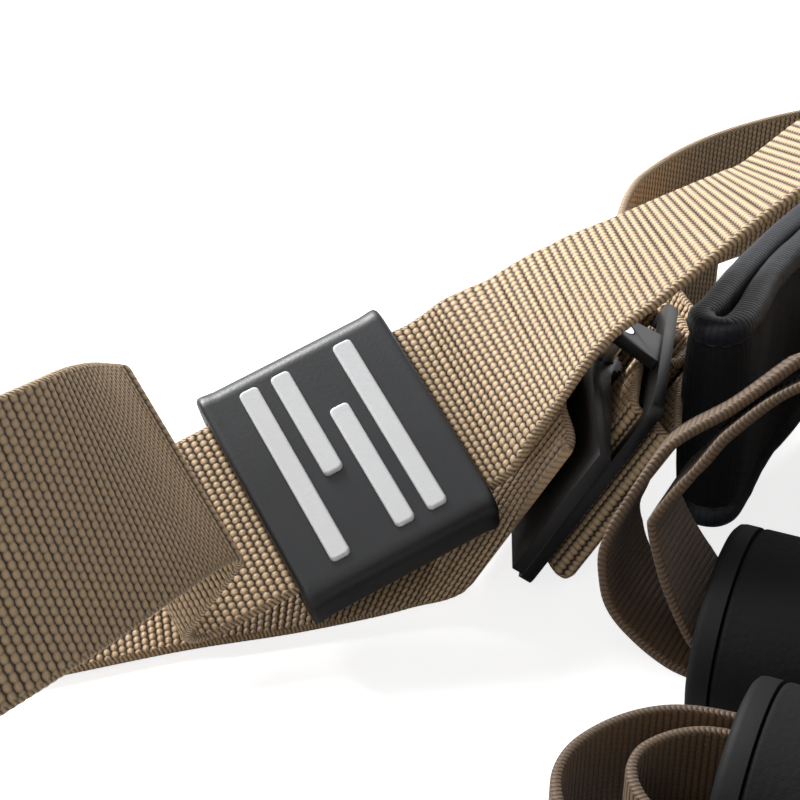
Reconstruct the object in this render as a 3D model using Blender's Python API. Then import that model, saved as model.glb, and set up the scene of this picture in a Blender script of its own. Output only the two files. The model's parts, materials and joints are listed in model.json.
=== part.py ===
# Suspension trainer lying folded: two webbing arms on one anchor, each with a cam buckle,
# an adjusting strap, a handle grip and a padded foot cradle. Units are metres, +Z is up.
import math

import bmesh
import bpy
from mathutils import Matrix, Vector

# Webbing
webbing_width = 0.038
webbing_thickness = 0.0024
webbing_gap = 0.0005
handle_webbing_width = 0.025
selvedge_share = 0.03

# One pace of the layout, in which the routes of the straps are drawn
lay_pace = 0.01
turn_per_ring = 16.0
bend_rings = 7

# Rubber keeper
keeper_length = 0.0382
keeper_side_wall = 0.0045
keeper_face_wall = 0.0034
keeper_corner = 0.0042
keeper_lip = 0.0004
keeper_lip_length = 0.0024
keeper_clearance = 0.0004
keeper_mark_height = 0.0007
keeper_place_share = (-0.16, -0.64, 2.65)
keeper_heading = 22.3
keeper_rise = 18.6
keeper_lean = 28.7

# Cam buckle
plate_thickness = 0.0023
plate_rail = 0.004
plate_end_bar = 0.0035
plate_slot = 0.004
plate_bridge = 0.0185
plate_middle_bar = 0.006
plate_far_bar = 0.004
plate_side_clearance = 0.0005
plate_corner = 0.003
ear_thickness = 0.0022
ear_radius = 0.0042
axle_radius = 0.0016
axle_height = 0.0085
axle_clearance = 0.0003
lever_width = 0.030
lever_thickness = 0.0023
lever_overhang = 0.009
lever_lift = 0.0034
cam_radius = 0.0042
cam_tooth = 0.0007
cam_teeth = 5
spring_wire = 0.0002
spring_radius = 0.0024
spring_coils = 3
visible_buckle_share = (3.18, -0.96, 0.075)
visible_buckle_heading = 78.5
visible_buckle_tilt = 61.0
hidden_buckle_share = (25.66, 0.01, 0.9)
hidden_buckle_heading = -14.5

# Handle grips
grip_length = 0.117
grip_radius = 0.018
grip_cover_wall = 0.0025
grip_core_wall = 0.002
grip_clearance = 0.0003
cap_length = 0.004
cap_bore = 0.0138
left_grip_share = (6.1, -4.5, 1.82)
right_grip_share = (5.7, -8.5, 1.82)
grip_heading = -24.9

# Padded sleeves of the foot cradles, and the sewn covers where an arm ends
pad_width = 0.044
pad_thickness = 0.0068
cover_side_wall = 0.00225
cover_length = 0.036
cover_wall = 0.0016
stack_gap = 0.0006

# Carabiners
main_bar = 0.004
main_length = 0.078
main_width = 0.046
anchor_bar = 0.005
anchor_length = 0.104
anchor_width = 0.062
gate_clearance = 0.0004
gate_pin_radius = 0.0011

# Anchor and equalizer webbing, sewn eyes, hanks and the rolled tail
equalizer_width = 0.018
loop_aside_share = 0.9
hank_pitch = 0.0052
upper_eye_length = 0.034
upper_eye_height = 0.013
upper_eye_seam = 0.020
upper_hank_share = -23.0
upper_hank_length = 0.086
upper_hank_runs = 5
near_eye_length = 0.028
near_eye_height = 0.015
near_eye_ahead = 0.012
far_eye_length = 0.034
far_eye_height = 0.0185
far_eye_share = 15.9
anchor_eye_seam = 0.012
anchor_hank_share = 2.3
anchor_hank_length = 0.098
anchor_hank_runs = 7
anchor_rise_shares = ((13.9, 1.6),)
tail_roll_length = 0.045
tail_roll_radius = 0.023
tail_roll_turns = 4
tail_roll_pitch = 0.0031

# Routes of the straps, as shares of the pace: places of one selvedge, with the heading and tilt
# of the direction across the strap where the route gives them
left_eye_share = (-27.0, -11.4, 0)
right_eye_share = (-27.0, -7.2, 0)
rising_shares = (
    (-13.0, -11.4, 2.45, 91, 3),
    (-11.2, -11.8, 2.9, 100, 14),
    (-9.2, -12.1, 3.6, 113, 27),
    (-7.2, -12.1, 4.3, 125, 38),
    (-5.5, -11.6, 4.8, 134, 47),
    (-4.23, -10.4, 4.96, 137, 50),
    (-3.05, -8.38, 4.62, 131, 53),
    (-2.36, -6.83, 4.24, 135, 50),
)
fold_shares = (
    (-2.8, 2.76, 138, 46),
    (-2.66, 2.54, 138, 46),
    (-2.76, 2.3, 138, 46),
    (-3.08, 1.89, 134, 42),
    (-3.58, 1.32, 130, 38),
    (-3.86, 1.0, 128, 35),
    (-4.0, 0.68, 125, 30),
    (-3.9, 0.36, 124, 28),
    (-3.6, 0.18, 123, 27),
    (-3.1, 0.15, 122, 27),
)
arch_shares = (
    (2.89, -1.35, 2.86, 120, 25),
    (3.27, -1.37, 3.61, 116, 17),
    (3.63, -1.41, 4.25, 108, 11),
    (4.38, -1.33, 5.46, 100, 2),
    (5.36, -1.21, 6.29, 97, -3),
    (6.34, -1.0, 7.09, 96, -9),
    (7.53, -0.68, 7.98, 95, -16),
    (9.2, -0.35, 8.9, 97, -14),
    (11.0, -0.2, 9.3, 95, -11),
    (13.0, -0.35, 9.2, 89, -8),
    (15.0, -0.9, 8.5, 83, -5),
    (16.8, -1.6, 7.3, 78, -2),
    (18.5, -2.25, 5.9, 76, 0),
    (20.2, -2.87, 4.5, 75.5, 0),
    (21.9, -3.37, 3.3, 75.5, 0),
    (23.6, -3.83, 2.6, 75.5, 0),
)
floor_shares = (
    (-12.2, -6.5, 0.16, 94, 3),
    (-10.0, -5.5, 0.15, 102, 12),
    (-7.5, -4.5, 0.15, 109, 25),
    (-5.2, -3.75, 0.15, 110, 27),
    (-3.0, -3.0, 0.15, 100, 22),
    (-0.9, -2.45, 0.15, 82, 22),
    (0.94, -1.8, 0.15, 54, 34),
)
outer_leg_shares = (
    (0.52, 0.45, -0.18),
    (0.36, 0.47, -0.3),
    (0.2, 0.5, -0.43),
    (0.22, 0.5, -0.56),
    (0.43, 0.5, -0.64),
    (1.17, 0.5, -0.6),
    (2.4, 0.5, -0.6),
    (3.3, 0.6, -0.82),
    (4.2, 0.75, -1.0),
)
inner_leg_shares = (
    (3.1, 0.45, -0.42),
    (3.6, 0.5, -0.6),
    (4.3, 0.55, -0.7),
)
right_tail_shares = (
    (5.4, 4.6, 0.2, -11, 72),
    (5.9, 6.4, 0.2, -11, 84),
    (6.9, 8.4, 0.2, -30, 88),
    (8.4, 10.2, 0.2, -50, 88),
)
right_round_shares = (
    (4.75, 4.9, 0.2, -11, 70),
    (5.2, 7.0, 0.2, -11, 84),
    (6.3, 9.8, 0.2, -30, 88),
    (8.6, 12.6, 0.2, -50, 88),
    (12.0, 14.6, 0.2, -70, 88),
    (17.0, 15.6, 0.2, -85, 88),
    (24.0, 15.3, 0.2, -95, 88),
    (31.0, 13.0, 0.2, -110, 88),
    (37.0, 8.5, 0.2, -135, 88),
    (40.5, 2.0, 0.2, -160, 88),
    (41.8, -6.0, 0.2, 180, 88),
    (41.0, -14.0, 0.2, 165, 88),
    (38.3, -20.0, 0.2, 135, 88),
    (34.5, -23.0, 0.2, 100, 80),
)
right_end_shares = (
    (27.8, -3.3, 0.2, 65.1, 35),
    (26.6, -3.3, 0.16, 65.1, 3),
    (25.7, -3.3, 0.3, 65.1, 0),
    (24.9, -3.3, 0.51, 65.1, 0),
    (23.6, -3.3, 0.54, 65.1, 0),
)
left_cover_share = (20.6, 0)
right_cover_share = (21.3, -1.4)
roll_distance_share = 14.2
left_round_shares = (
    (32.2, -6.1, 0.15, 75.5, 8),
    (34.0, -6.8, 0.2, 70, 45),
    (36.0, -8.0, 0.2, 60, 80),
    (37.6, -10.0, 0.2, 20, 88),
    (38.0, -12.6, 0.2, 0, 88),
    (37.0, -15.3, 0.2, -40, 88),
    (34.8, -17.0, 0.2, -80, 85),
    (32.0, -16.6, 0.2, -110, 60),
)
left_end_shares = (
    (26.2, 1.9, 0.2, 245.1, 25),
    (25.1, 1.9, 0.2, 245.1, 3),
    (24.2, 1.9, 0.48, 245.1, 0),
    (22.9, 1.9, 0.54, 245.1, 0),
)
left_handle_end_shares = (
    (21.9, -1.25, 0.38, 65.1, 0),
    (20.7, -1.25, 0.38, 65.1, 0),
    (20.2, -1.15, 0.5, 65.1, 0),
    (19.2, -0.5, 1.2, 64, 0),
    (18.0, 0.6, 2.5, 62, 0),
    (16.8, 1.3, 3.4, 62, 0),
    (15.5, 1.4, 3.8, 62, 0),
)
left_handle_rise_shares = (
    (5.72, -5.7, 2.08, 65, -3),
    (5.51, -5.57, 2.3, 65, -8),
    (5.21, -5.34, 2.87, 67, -10),
    (5.0, -5.13, 3.44, 69, -14),
    (4.84, -4.87, 4.08, 71, -18),
    (4.9, -4.84, 4.24, 72, -19),
    (5.15, -4.78, 4.59, 74, -21),
    (5.62, -4.66, 5.15, 76, -24),
    (6.0, -4.52, 5.58, 77, -26),
    (7.02, -4.35, 6.32, 77, -26),
    (8.5, -4.6, 6.9, 74, -22),
    (10.2, -5.1, 6.9, 70, -15),
    (12.0, -5.8, 6.3, 66, -8),
    (14.0, -6.7, 5.3, 64, -3),
    (16.2, -7.7, 4.5, 62, 0),
)
left_handle_shares = (
    (0.2, -1.25, 2.02, 65.1, 0),
    (12.3, -1.25, 2.02, 65.1, 0),
    (13.2, -1.25, 2.5, 65.1, 0),
    (14.4, -1.25, 3.6, 65.1, 0),
    (15.8, -1.25, 4.6, 65.1, 0),
    (17.3, -1.25, 4.6, 65.1, 0),
    (18.7, -1.25, 3.4, 65.1, 0),
    (19.5, -1.25, 1.7, 65.1, 0),
    (20.1, -1.25, 0.8, 65.1, 0),
    (20.7, -1.25, 0.69, 65.1, 0),
    (21.9, -1.25, 0.68, 65.1, 0),
)
left_cradle_bore_shares = (
    (0.2, -1.25, 1.62, 65.1, 0),
)
left_cradle_rise_shares = (
    (5.2, -5.45, 1.75, 65, -6),
    (4.61, -5.13, 2.12, 66, -8),
    (4.25, -4.9, 2.54, 67, -10),
    (4.12, -4.72, 3.11, 68, -12),
    (4.15, -4.63, 3.54, 70, -15),
    (4.36, -4.54, 4.04, 72, -18),
    (4.74, -4.41, 4.69, 75, -22),
    (5.17, -4.27, 5.24, 77, -25),
    (6.11, -4.17, 5.86, 78, -27),
    (7.1, -4.0, 6.62, 79, -28),
    (8.5, -3.6, 7.5, 85, -45),
    (10.0, -2.7, 8.0, 95, -68),
    (11.6, -1.4, 8.1, 110, -85),
    (13.3, 0.4, 7.9, 120, -88),
    (14.9, 2.4, 7.3, 130, -88),
    (16.2, 4.6, 6.3, 140, -88),
    (16.9, 6.8, 5.3, 150, -88),
    (16.6, 8.3, 4.7, 200, -88),
    (15.6, 8.75, 4.5, 250, -88),
    (14.25, 8.3, 4.45, 280, -88),
    (12.15, 6.95, 4.45, 290, -88),
    (10.1, 5.2, 4.45, 300, -88),
    (8.55, 3.03, 4.45, 310, -88),
    (7.8, 1.75, 4.45, 320, -88),
    (7.1, 0.2, 4.45, 330, -88),
    (6.75, -0.2, 4.45, 350, -88),
    (6.4, -0.1, 4.45, 20, -88),
    (6.33, 0.28, 4.45, 60, -88),
)
left_pad_shares = (
    (6.55, 0.65, 4.45, 80, -88),
    (7.3, 2.0, 4.45, 100, -88),
    (8.05, 3.3, 4.45, 110, -88),
    (9.7, 5.6, 4.45, 120, -88),
    (11.8, 7.4, 4.45, 130, -88),
    (14.0, 8.8, 4.45, 140, -88),
)
left_cradle_back_shares = (
    (15.5, 9.8, 4.2, 150, -88),
    (17.6, 10.3, 3.8, 120, -88),
    (19.6, 9.8, 3.4, 90, -88),
    (20.9, 8.2, 3.2, 60, -88),
    (21.3, 6.0, 3.2, 30, -88),
    (21.3, 1.0, 3.2, 10, -88),
    (21.5, -5.0, 3.2, 0, -88),
    (21.4, -8.6, 3.05, 20, -88),
    (20.9, -10.1, 2.95, 40, -85),
    (19.9, -10.95, 2.85, 60, -72),
    (18.6, -11.15, 2.4, 65, -38),
)
left_cradle_end_shares = (
    (13.1, -1.25, 1.7, 65.1, -8),
    (12.4, -1.25, 1.62, 65.1, 0),
    (0.5, -1.25, 1.62, 65.1, 0),
)
right_handle_shares = (
    (22.4, -2.65, 0.38, 65.1, 0),
    (21.3, -2.65, 0.38, 65.1, 0),
    (17.4, -2.65, 0.38, 65.1, 2),
    (16.2, -2.55, 0.44, 65.1, 25),
    (15.2, -2.45, 0.5, 65.1, 60),
    (14.0, -2.35, 0.52, 65.1, 88),
    (0.3, -2.35, 0.52, 65.1, 88),
    (-0.5, -2.2, 0.53, 65.1, 88),
    (-1.08, -1.6, 0.54, 65.1, 88),
    (-1.08, -0.95, 0.55, 65.1, 88),
    (-0.5, -0.33, 0.56, 65.1, 88),
    (0.3, -0.2, 0.57, 65.1, 88),
    (12.6, -0.2, 0.57, 65.1, 88),
    (15.0, 0.1, 0.57, 65.1, 88),
    (16.8, 0.1, 0.6, 65.1, 85),
    (18.2, -0.6, 0.95, 65.1, 55),
    (19.4, -1.6, 1.05, 65.1, 20),
    (20.5, -2.4, 0.85, 65.1, 3),
    (21.3, -2.65, 0.7, 65.1, 0),
    (22.4, -2.65, 0.68, 65.1, 0),
)
right_cradle_bore_shares = (
    (6.0, 0.2, 0.57, 65.1, 88),
    (12.6, 0.2, 0.57, 65.1, 88),
    (14.0, 0.6, 0.58, 65.1, 88),
    (16.5, 1.2, 0.6, 65.1, 88),
    (20.0, 1.32, 0.65, 65.1, 88),
    (23.5, 1.2, 0.8, 65.1, 88),
    (25.8, 0.4, 0.95, 65.1, 88),
    (26.8, -1.4, 1.02, 65.1, 88),
    (26.9, -3.8, 1.05, 65.1, 88),
    (25.8, -5.7, 1.05, 65.1, 88),
    (24.0, -6.4, 1.05, 65.1, 88),
)
right_pad_shares = (
    (22.2, -6.5, 1.05, 65.1, 88),
    (13.8, -6.5, 1.05, 65.1, 88),
    (13.1, -6.3, 1.05, 65.1, 88),
    (12.9, -5.75, 1.05, 65.1, 88),
    (13.1, -5.2, 1.05, 65.1, 88),
    (13.8, -5.0, 1.05, 65.1, 88),
    (22.2, -5.0, 1.05, 65.1, 88),
)
right_cradle_back_shares = (
    (22.9, -4.9, 1.05, 65.1, 88),
    (23.2, -4.5, 1.0, 65.1, 88),
    (22.8, -4.1, 0.95, 65.1, 88),
    (21.5, -4.0, 0.9, 65.1, 88),
    (10.0, -3.8, 0.6, 65.1, 88),
    (0.6, -3.8, 0.57, 65.1, 88),
    (-1.0, -3.4, 0.57, 65.1, 88),
    (-1.95, -2.3, 0.57, 65.1, 88),
    (-1.95, -1.2, 0.57, 65.1, 88),
    (-1.1, -0.1, 0.57, 65.1, 88),
    (0.2, 0.2, 0.57, 65.1, 88),
    (5.6, 0.2, 0.57, 65.1, 88),
)
equalizer_shares = (
    (-11.4, 0.46),
    (-3.2, 0.46),
    (-2.5, 0.32),
    (-1.8, 0.17),
    (-1.1, 0.2),
    (-0.68, 0.55),
    (-0.6, 0.95),
    (-0.85, 1.4),
    (-1.4, 1.63),
    (-3.0, 1.66),
    (-11.4, 1.66),
    (-11.9, 1.5),
    (-12.1, 1.06),
    (-11.9, 0.62),
)
main_end_share = (-1.9, 0.77)
anchor_end_share = 17.41
anchor_height_share = 0.82
anchor_drop = 1.7

part_colours = {
    "webbing": ("#A58A66", 0.85, 0.0),
    "handle_webbing": ("#6B5236", 0.85, 0.0),
    "black_webbing": ("#17171A", 0.85, 0.0),
    "rubber": ("#2B2E33", 0.6, 0.0),
    "buckle": ("#1C1C1E", 0.45, 0.0),
    "steel": ("#9A9C9E", 0.35, 1.0),
    "pad": ("#0B0C10", 0.8, 0.0),
    "foam": ("#141416", 0.9, 0.0),
}

up = Vector((0, 0, 1))


def clear_scene():
    for thing in list(bpy.data.objects):
        bpy.data.objects.remove(thing, do_unlink=True)


def material_for(kind):
    found = bpy.data.materials.get(kind)
    if found:
        return found
    made = bpy.data.materials.new(kind)
    made.use_nodes = True
    colour, roughness, metallic = part_colours[kind]
    channels = [int(colour[i : i + 2], 16) / 255 for i in (1, 3, 5)]
    linear = [c / 12.92 if c <= 0.04045 else ((c + 0.055) / 1.055) ** 2.4 for c in channels]
    shader = made.node_tree.nodes["Principled BSDF"]
    shader.inputs["Base Color"].default_value = (*linear, 1)
    shader.inputs["Roughness"].default_value = roughness
    shader.inputs["Metallic"].default_value = metallic
    return made


def object_from(name, kind, points, faces, smooth=False):
    mesh = bpy.data.meshes.new(name)
    mesh.from_pydata([tuple(point) for point in points], [], faces)
    mesh.materials.append(material_for(kind))
    shape = bmesh.new()
    shape.from_mesh(mesh)
    bmesh.ops.recalc_face_normals(shape, faces=shape.faces)
    shape.to_mesh(mesh)
    shape.free()
    mesh.polygons.foreach_set("use_smooth", [smooth] * len(mesh.polygons))
    thing = bpy.data.objects.new(name, mesh)
    bpy.context.scene.collection.objects.link(thing)
    return thing


def direction(heading, tilt):
    turn = math.radians(heading)
    rise = math.radians(tilt)
    level = math.cos(rise)
    return Vector((level * math.cos(turn), level * math.sin(turn), math.sin(rise)))


def frame_at(place, first, second, third):
    frame = Matrix((first, second, third)).transposed().to_4x4()
    frame.translation = place
    return frame


def route(shares):
    return [(Vector(row[:3]) * lay_pace, direction(row[3], row[4])) for row in shares]


def upright(place, heading, side, points):
    # A strap whose width stays level, drawn as distances along its heading and heights
    ahead = direction(heading, 0)
    rib = direction(heading + side, 0)
    return [(place + ahead * along + up * height, rib) for along, height in points]


def arc(centre, radius, start, end, rings):
    steps = [start + (end - start) * i / rings for i in range(rings + 1)]
    turns = [math.radians(step) for step in steps]
    return [(centre[0] + radius * math.cos(t), centre[1] + radius * math.sin(t)) for t in turns]


def hank(start, length, runs, height, pitch):
    # Runs folded to and fro on top of each other, from the bottom run at start
    points = [(start, height)]
    for run in range(runs):
        away = run % 2 == 0
        end = start + length if away else start
        level = height + pitch * run
        if run == runs - 1:
            points.append((end, level))
            continue
        middle = (end, level + pitch / 2)
        if away:
            points += arc(middle, pitch / 2, -90, 90, bend_rings)
        else:
            points += arc(middle, pitch / 2, -90, -270, bend_rings)
    return points


def roll(length, radius, turns, pitch, height):
    # A flat roll from its outer end at the bottom right to its inner end
    middle = height + radius
    points = [(length, height)]
    for turn in range(turns):
        outer = radius - pitch * turn
        inner = outer - pitch
        points += arc((0, middle), outer, 270, 90, bend_rings + 3)
        centre = (length, middle + (outer - inner) / 2)
        points += arc(centre, (outer + inner) / 2, 90, -90, bend_rings + 3)
    points.append((length * 0.4, middle - radius + pitch * turns))
    return points


def eye(ahead, floor, height, sewn):
    # The sewn loop at the end of a strap, seen from the side: in over the top, back underneath
    top = floor + webbing_thickness + webbing_gap
    shares = ((-0.3, 0.0), (0.0, 0.02), (0.28, 0.55), (0.6, 0.95), (0.85, 0.9))
    over = [(ahead * along, top + (height - top) * rise) for along, rise in shares]
    nose = [(ahead, (floor + height) / 2), (ahead * 0.88, floor + (height - floor) * 0.08)]
    under = [(ahead * 0.7, floor), (0, floor), (-sewn, floor)]
    return over + nose + under


def smoothed(stations):
    # Rings set closer where the route turns or twists, on a Catmull-Rom curve
    last = len(stations) - 1
    found = []
    for i in range(last):
        before = stations[max(i - 1, 0)]
        here = stations[i]
        there = stations[i + 1]
        after = stations[min(i + 2, last)]
        start = there[0] - before[0]
        end = after[0] - here[0]
        bend = math.degrees(start.angle(end)) + math.degrees(here[1].angle(there[1]))
        rings = max(1, round(bend / turn_per_ring))
        for k in range(rings):
            t = k / rings
            place = curve_point(before[0], here[0], there[0], after[0], t)
            rib = curve_point(before[1], here[1], there[1], after[1], t)
            found.append((place, rib.normalized()))
    found.append(stations[-1])
    return found


def curve_point(before, here, there, after, t):
    # Tangents are scaled by the length of this step, so that uneven stations stay smooth
    step = (there - here).length
    leave = (there - before).normalized() * step
    arrive = (after - here).normalized() * step
    t2 = t * t
    t3 = t2 * t
    return (
        here * (2 * t3 - 3 * t2 + 1)
        + leave * (t3 - 2 * t2 + t)
        + there * (3 * t2 - 2 * t3)
        + arrive * (t3 - t2)
    )


def edge_normals(stations, width, closed):
    count = len(stations)
    normals = []
    for i, (place, rib) in enumerate(stations):
        before = i - 1 if i or closed else 0
        after = (i + 1) % count if i < count - 1 or closed else i
        pair = []
        for reach in (0, width):
            behind = stations[before][0] + stations[before][1] * reach
            ahead = stations[after][0] + stations[after][1] * reach
            pair.append((ahead - behind).cross(rib).normalized())
        normals.append(pair)
    return normals


def ribbon(name, kind, stations, width, thickness=webbing_thickness, closed=False):
    # Stations are places of one selvedge with the direction across the strap
    tip = selvedge_share * width
    section = (
        (0, 0),
        (tip, 0.5),
        (width - tip, 0.5),
        (width, 0),
        (width - tip, -0.5),
        (tip, -0.5),
    )
    points = []
    for (place, rib), (near, far) in zip(stations, edge_normals(stations, width, closed)):
        for across, rise in section:
            normal = near.lerp(far, across / width).normalized()
            points.append(place + rib * across + normal * (thickness * rise))
    size = len(section)
    count = len(stations)
    faces = []
    for ring in range(count if closed else count - 1):
        other = (ring + 1) % count
        for i in range(size):
            j = (i + 1) % size
            faces.append((ring * size + i, ring * size + j, other * size + j, other * size + i))
    if not closed:
        end = (count - 1) * size
        faces += [(0, 1, 2, 3), (0, 3, 4, 5)]
        faces += [(end, end + 1, end + 2, end + 3), (end, end + 3, end + 4, end + 5)]
    return object_from(name, kind, points, faces)


def sleeve(name, kind, stations, strap_width, outer, hole, chamfer):
    # A flat tube round a strap: outer and hole are each a width and a thickness
    loops = []
    for size, cut in ((outer, chamfer), (hole, chamfer * 0.3)):
        half = size[0] / 2
        rise = size[1] / 2
        loops.append(
            (
                (half - cut, rise),
                (half, rise - cut),
                (half, cut - rise),
                (half - cut, -rise),
                (cut - half, -rise),
                (-half, cut - rise),
                (-half, rise - cut),
                (cut - half, rise),
            )
        )
    points = []
    normals = edge_normals(stations, strap_width, False)
    for (place, rib), (near, far) in zip(stations, normals):
        middle = place + rib * (strap_width / 2)
        normal = (near + far).normalized()
        for loop in loops:
            points += [middle + rib * across + normal * rise for across, rise in loop]
    count = len(stations)
    faces = []
    for ring in range(count - 1):
        for start in (0, 8):
            for i in range(8):
                j = (i + 1) % 8
                here = ring * 16 + start
                there = here + 16
                faces.append((here + i, here + j, there + j, there + i))
    for ring in (0, count - 1):
        for i in range(8):
            j = (i + 1) % 8
            here = ring * 16
            faces.append((here + i, here + j, here + 8 + j, here + 8 + i))
    return object_from(name, kind, points, faces)


def lathe(name, kind, frame, outline, sides=36):
    # The outline of distances along the axis and radii is a closed loop, turned about the axis
    points = []
    for side in range(sides):
        turn = 2 * math.pi * side / sides
        for along, radius in outline:
            spot = Vector((along, radius * math.cos(turn), radius * math.sin(turn)))
            points.append(frame @ spot)
    size = len(outline)
    faces = []
    for side in range(sides):
        other = (side + 1) % sides
        for i in range(size):
            j = (i + 1) % size
            faces.append((side * size + i, side * size + j, other * size + j, other * size + i))
    return object_from(name, kind, points, faces, True)


def bar(name, kind, path, radius, sides=12):
    # A round bar along a path, ends closed
    count = len(path)
    points = []
    side_way = None
    for i, spot in enumerate(path):
        before = path[i - 1] if i else spot
        after = path[i + 1] if i < count - 1 else spot
        ahead = (after - before).normalized()
        if side_way is None:
            side_way = ahead.orthogonal().normalized()
        side_way = (side_way - ahead * side_way.dot(ahead)).normalized()
        other_way = ahead.cross(side_way)
        for side in range(sides):
            turn = 2 * math.pi * side / sides
            reach = side_way * math.cos(turn) + other_way * math.sin(turn)
            points.append(spot + reach * radius)
    faces = []
    for ring in range(count - 1):
        other = ring + 1
        for i in range(sides):
            j = (i + 1) % sides
            faces.append((ring * sides + i, ring * sides + j, other * sides + j, other * sides + i))
    faces += [tuple(range(sides)), tuple((count - 1) * sides + i for i in range(sides))]
    return object_from(name, kind, points, faces, True)


def block(name, kind, frame, low, high):
    corners = [(x, y, z) for z in (low[2], high[2]) for y in (low[1], high[1]) for x in (low[0], high[0])]
    faces = [(0, 1, 3, 2), (4, 5, 7, 6), (0, 1, 5, 4), (2, 3, 7, 6), (0, 2, 6, 4), (1, 3, 7, 5)]
    return object_from(name, kind, [frame @ Vector(corner) for corner in corners], faces)


def prism(name, kind, frame, outline, low, high):
    # An outline of the second and third axes, drawn out along the first
    size = len(outline)
    points = [frame @ Vector((low, a, b)) for a, b in outline]
    points += [frame @ Vector((high, a, b)) for a, b in outline]
    faces = [(i, (i + 1) % size, size + (i + 1) % size, size + i) for i in range(size)]
    faces += [tuple(range(size)), tuple(range(size, 2 * size))]
    return object_from(name, kind, points, faces)


def rod(name, kind, frame, low, high, second, third, radius, sides=24):
    # A round rod along the first axis
    turns = [2 * math.pi * i / sides for i in range(sides)]
    outline = [(second + radius * math.cos(t), third + radius * math.sin(t)) for t in turns]
    return prism(name, kind, frame, outline, low, high)


def combine(thing, other, operation):
    # The result is baked at once, and the helper is removed
    change = thing.modifiers.new(operation, "BOOLEAN")
    change.operation = operation
    change.solver = "EXACT"
    change.object = other
    graph = bpy.context.evaluated_depsgraph_get()
    mesh = bpy.data.meshes.new_from_object(thing.evaluated_get(graph))
    thing.modifiers.clear()
    thing.data = mesh
    bpy.data.objects.remove(other, do_unlink=True)


def rounded_rectangle(half_width, half_height, corner, rings=4):
    points = []
    for x, y, start in ((1, 1, 0), (-1, 1, 90), (-1, -1, 180), (1, -1, 270)):
        centre = (x * (half_width - corner), y * (half_height - corner))
        points += arc(centre, corner, start, start + 90, rings)
    return points


# Buckle places along its length, from the low near end
slot_one = plate_end_bar + plate_slot / 2
bridge_start = plate_end_bar + plate_slot
bridge_end = bridge_start + plate_bridge
slot_two = bridge_end + plate_slot / 2
slot_three = bridge_end + plate_slot + plate_middle_bar + plate_slot / 2
plate_length = slot_three + plate_slot / 2 + plate_far_bar
plate_width = webbing_width + 2 * (plate_side_clearance + plate_rail)
strap_start = plate_rail + plate_side_clearance
axle_along = bridge_end - plate_slot * 0.5


def make_buckle(side, frame):
    # First axis across the buckle, second along it, third towards the lever
    half = plate_thickness / 2
    outline = [
        (x + plate_width / 2, y + plate_length / 2)
        for x, y in rounded_rectangle(plate_width / 2, plate_length / 2, plate_corner)
    ]
    turned = frame @ Matrix(((0, 1, 0, 0), (0, 0, 1, 0), (1, 0, 0, 0), (0, 0, 0, 1)))
    plate = prism(f"{side}_buckle_frame", "buckle", turned, outline, -half, half)
    ears = (
        (plate_rail * 0.2, plate_rail * 0.2 + ear_thickness),
        (plate_width - plate_rail * 0.2 - ear_thickness, plate_width - plate_rail * 0.2),
    )
    for low, high in ears:
        profile = [(axle_along - ear_radius * 1.3, 0), (axle_along + ear_radius * 1.3, 0)]
        profile += arc((axle_along, axle_height), ear_radius, 0, 180, 8)
        combine(plate, prism("ear", "buckle", frame, profile, low, high), "UNION")
    for middle in (slot_one, slot_two, slot_three):
        low = (strap_start - plate_side_clearance, middle - plate_slot / 2, -plate_thickness)
        high = (strap_start + webbing_width + plate_side_clearance, middle + plate_slot / 2, plate_thickness)
        combine(plate, block("slot", "buckle", frame, low, high), "DIFFERENCE")
    bore = axle_radius + axle_clearance
    drill = rod("drill", "buckle", frame, -plate_rail, plate_width + plate_rail, axle_along, axle_height, bore)
    combine(plate, drill, "DIFFERENCE")

    inner = ears[0][1]
    axle = rod(
        f"{side}_buckle_axle", "steel", frame, ears[0][0], ears[1][1], axle_along, axle_height, axle_radius
    )
    axle.data.polygons.foreach_set("use_smooth", [True] * len(axle.data.polygons))

    low = (plate_width - lever_width) / 2
    high = low + lever_width
    slope = (axle_height - lever_thickness / 2 - lever_lift) / (axle_along + lever_overhang)
    profile = [(-lever_overhang, lever_lift), (-lever_overhang, lever_lift + lever_thickness)]
    top = axle_height + cam_radius
    profile.append((axle_along - cam_radius * 1.9, top - cam_radius * 0.55))
    profile += arc((axle_along, axle_height), cam_radius, 100, -30, 6)
    for tooth in range(cam_teeth):
        turn = math.radians(-44 - tooth * 21)
        for reach, shift in ((cam_radius, 0.0), (cam_radius - cam_tooth, -0.17)):
            spot = turn + shift
            profile.append((axle_along + reach * math.cos(spot), axle_height + reach * math.sin(spot)))
    profile.append((axle_along - cam_radius * 1.25, lever_lift + slope * (axle_along + lever_overhang) * 0.78))
    origin = frame @ Vector((plate_width / 2, axle_along, axle_height))
    lever = prism(f"{side}_cam_lever", "buckle", frame, profile, low, high)
    drill = rod("drill", "buckle", frame, low - plate_rail, high + plate_rail, axle_along, axle_height, bore)
    combine(lever, drill, "DIFFERENCE")
    set_origin(lever, origin)

    turns = spring_coils * 12
    start = inner + spring_wire * 3
    spread = (low - spring_wire * 3 - start) / turns
    path = []
    arm = spring_radius * 1.6
    path.append(frame @ Vector((start, axle_along - arm, axle_height - spring_radius)))
    for i in range(turns + 1):
        turn = math.radians(-90 + 30 * i)
        spot = (
            start + spread * i,
            axle_along + spring_radius * math.cos(turn),
            axle_height + spring_radius * math.sin(turn),
        )
        path.append(frame @ Vector(spot))
    path.append(frame @ Vector((start + spread * turns, axle_along + arm, axle_height - spring_radius)))
    bar(f"{side}_buckle_spring", "steel", path, spring_wire, 6)


def set_origin(thing, place):
    thing.data.transform(Matrix.Translation(-place))
    thing.location = place


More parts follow.
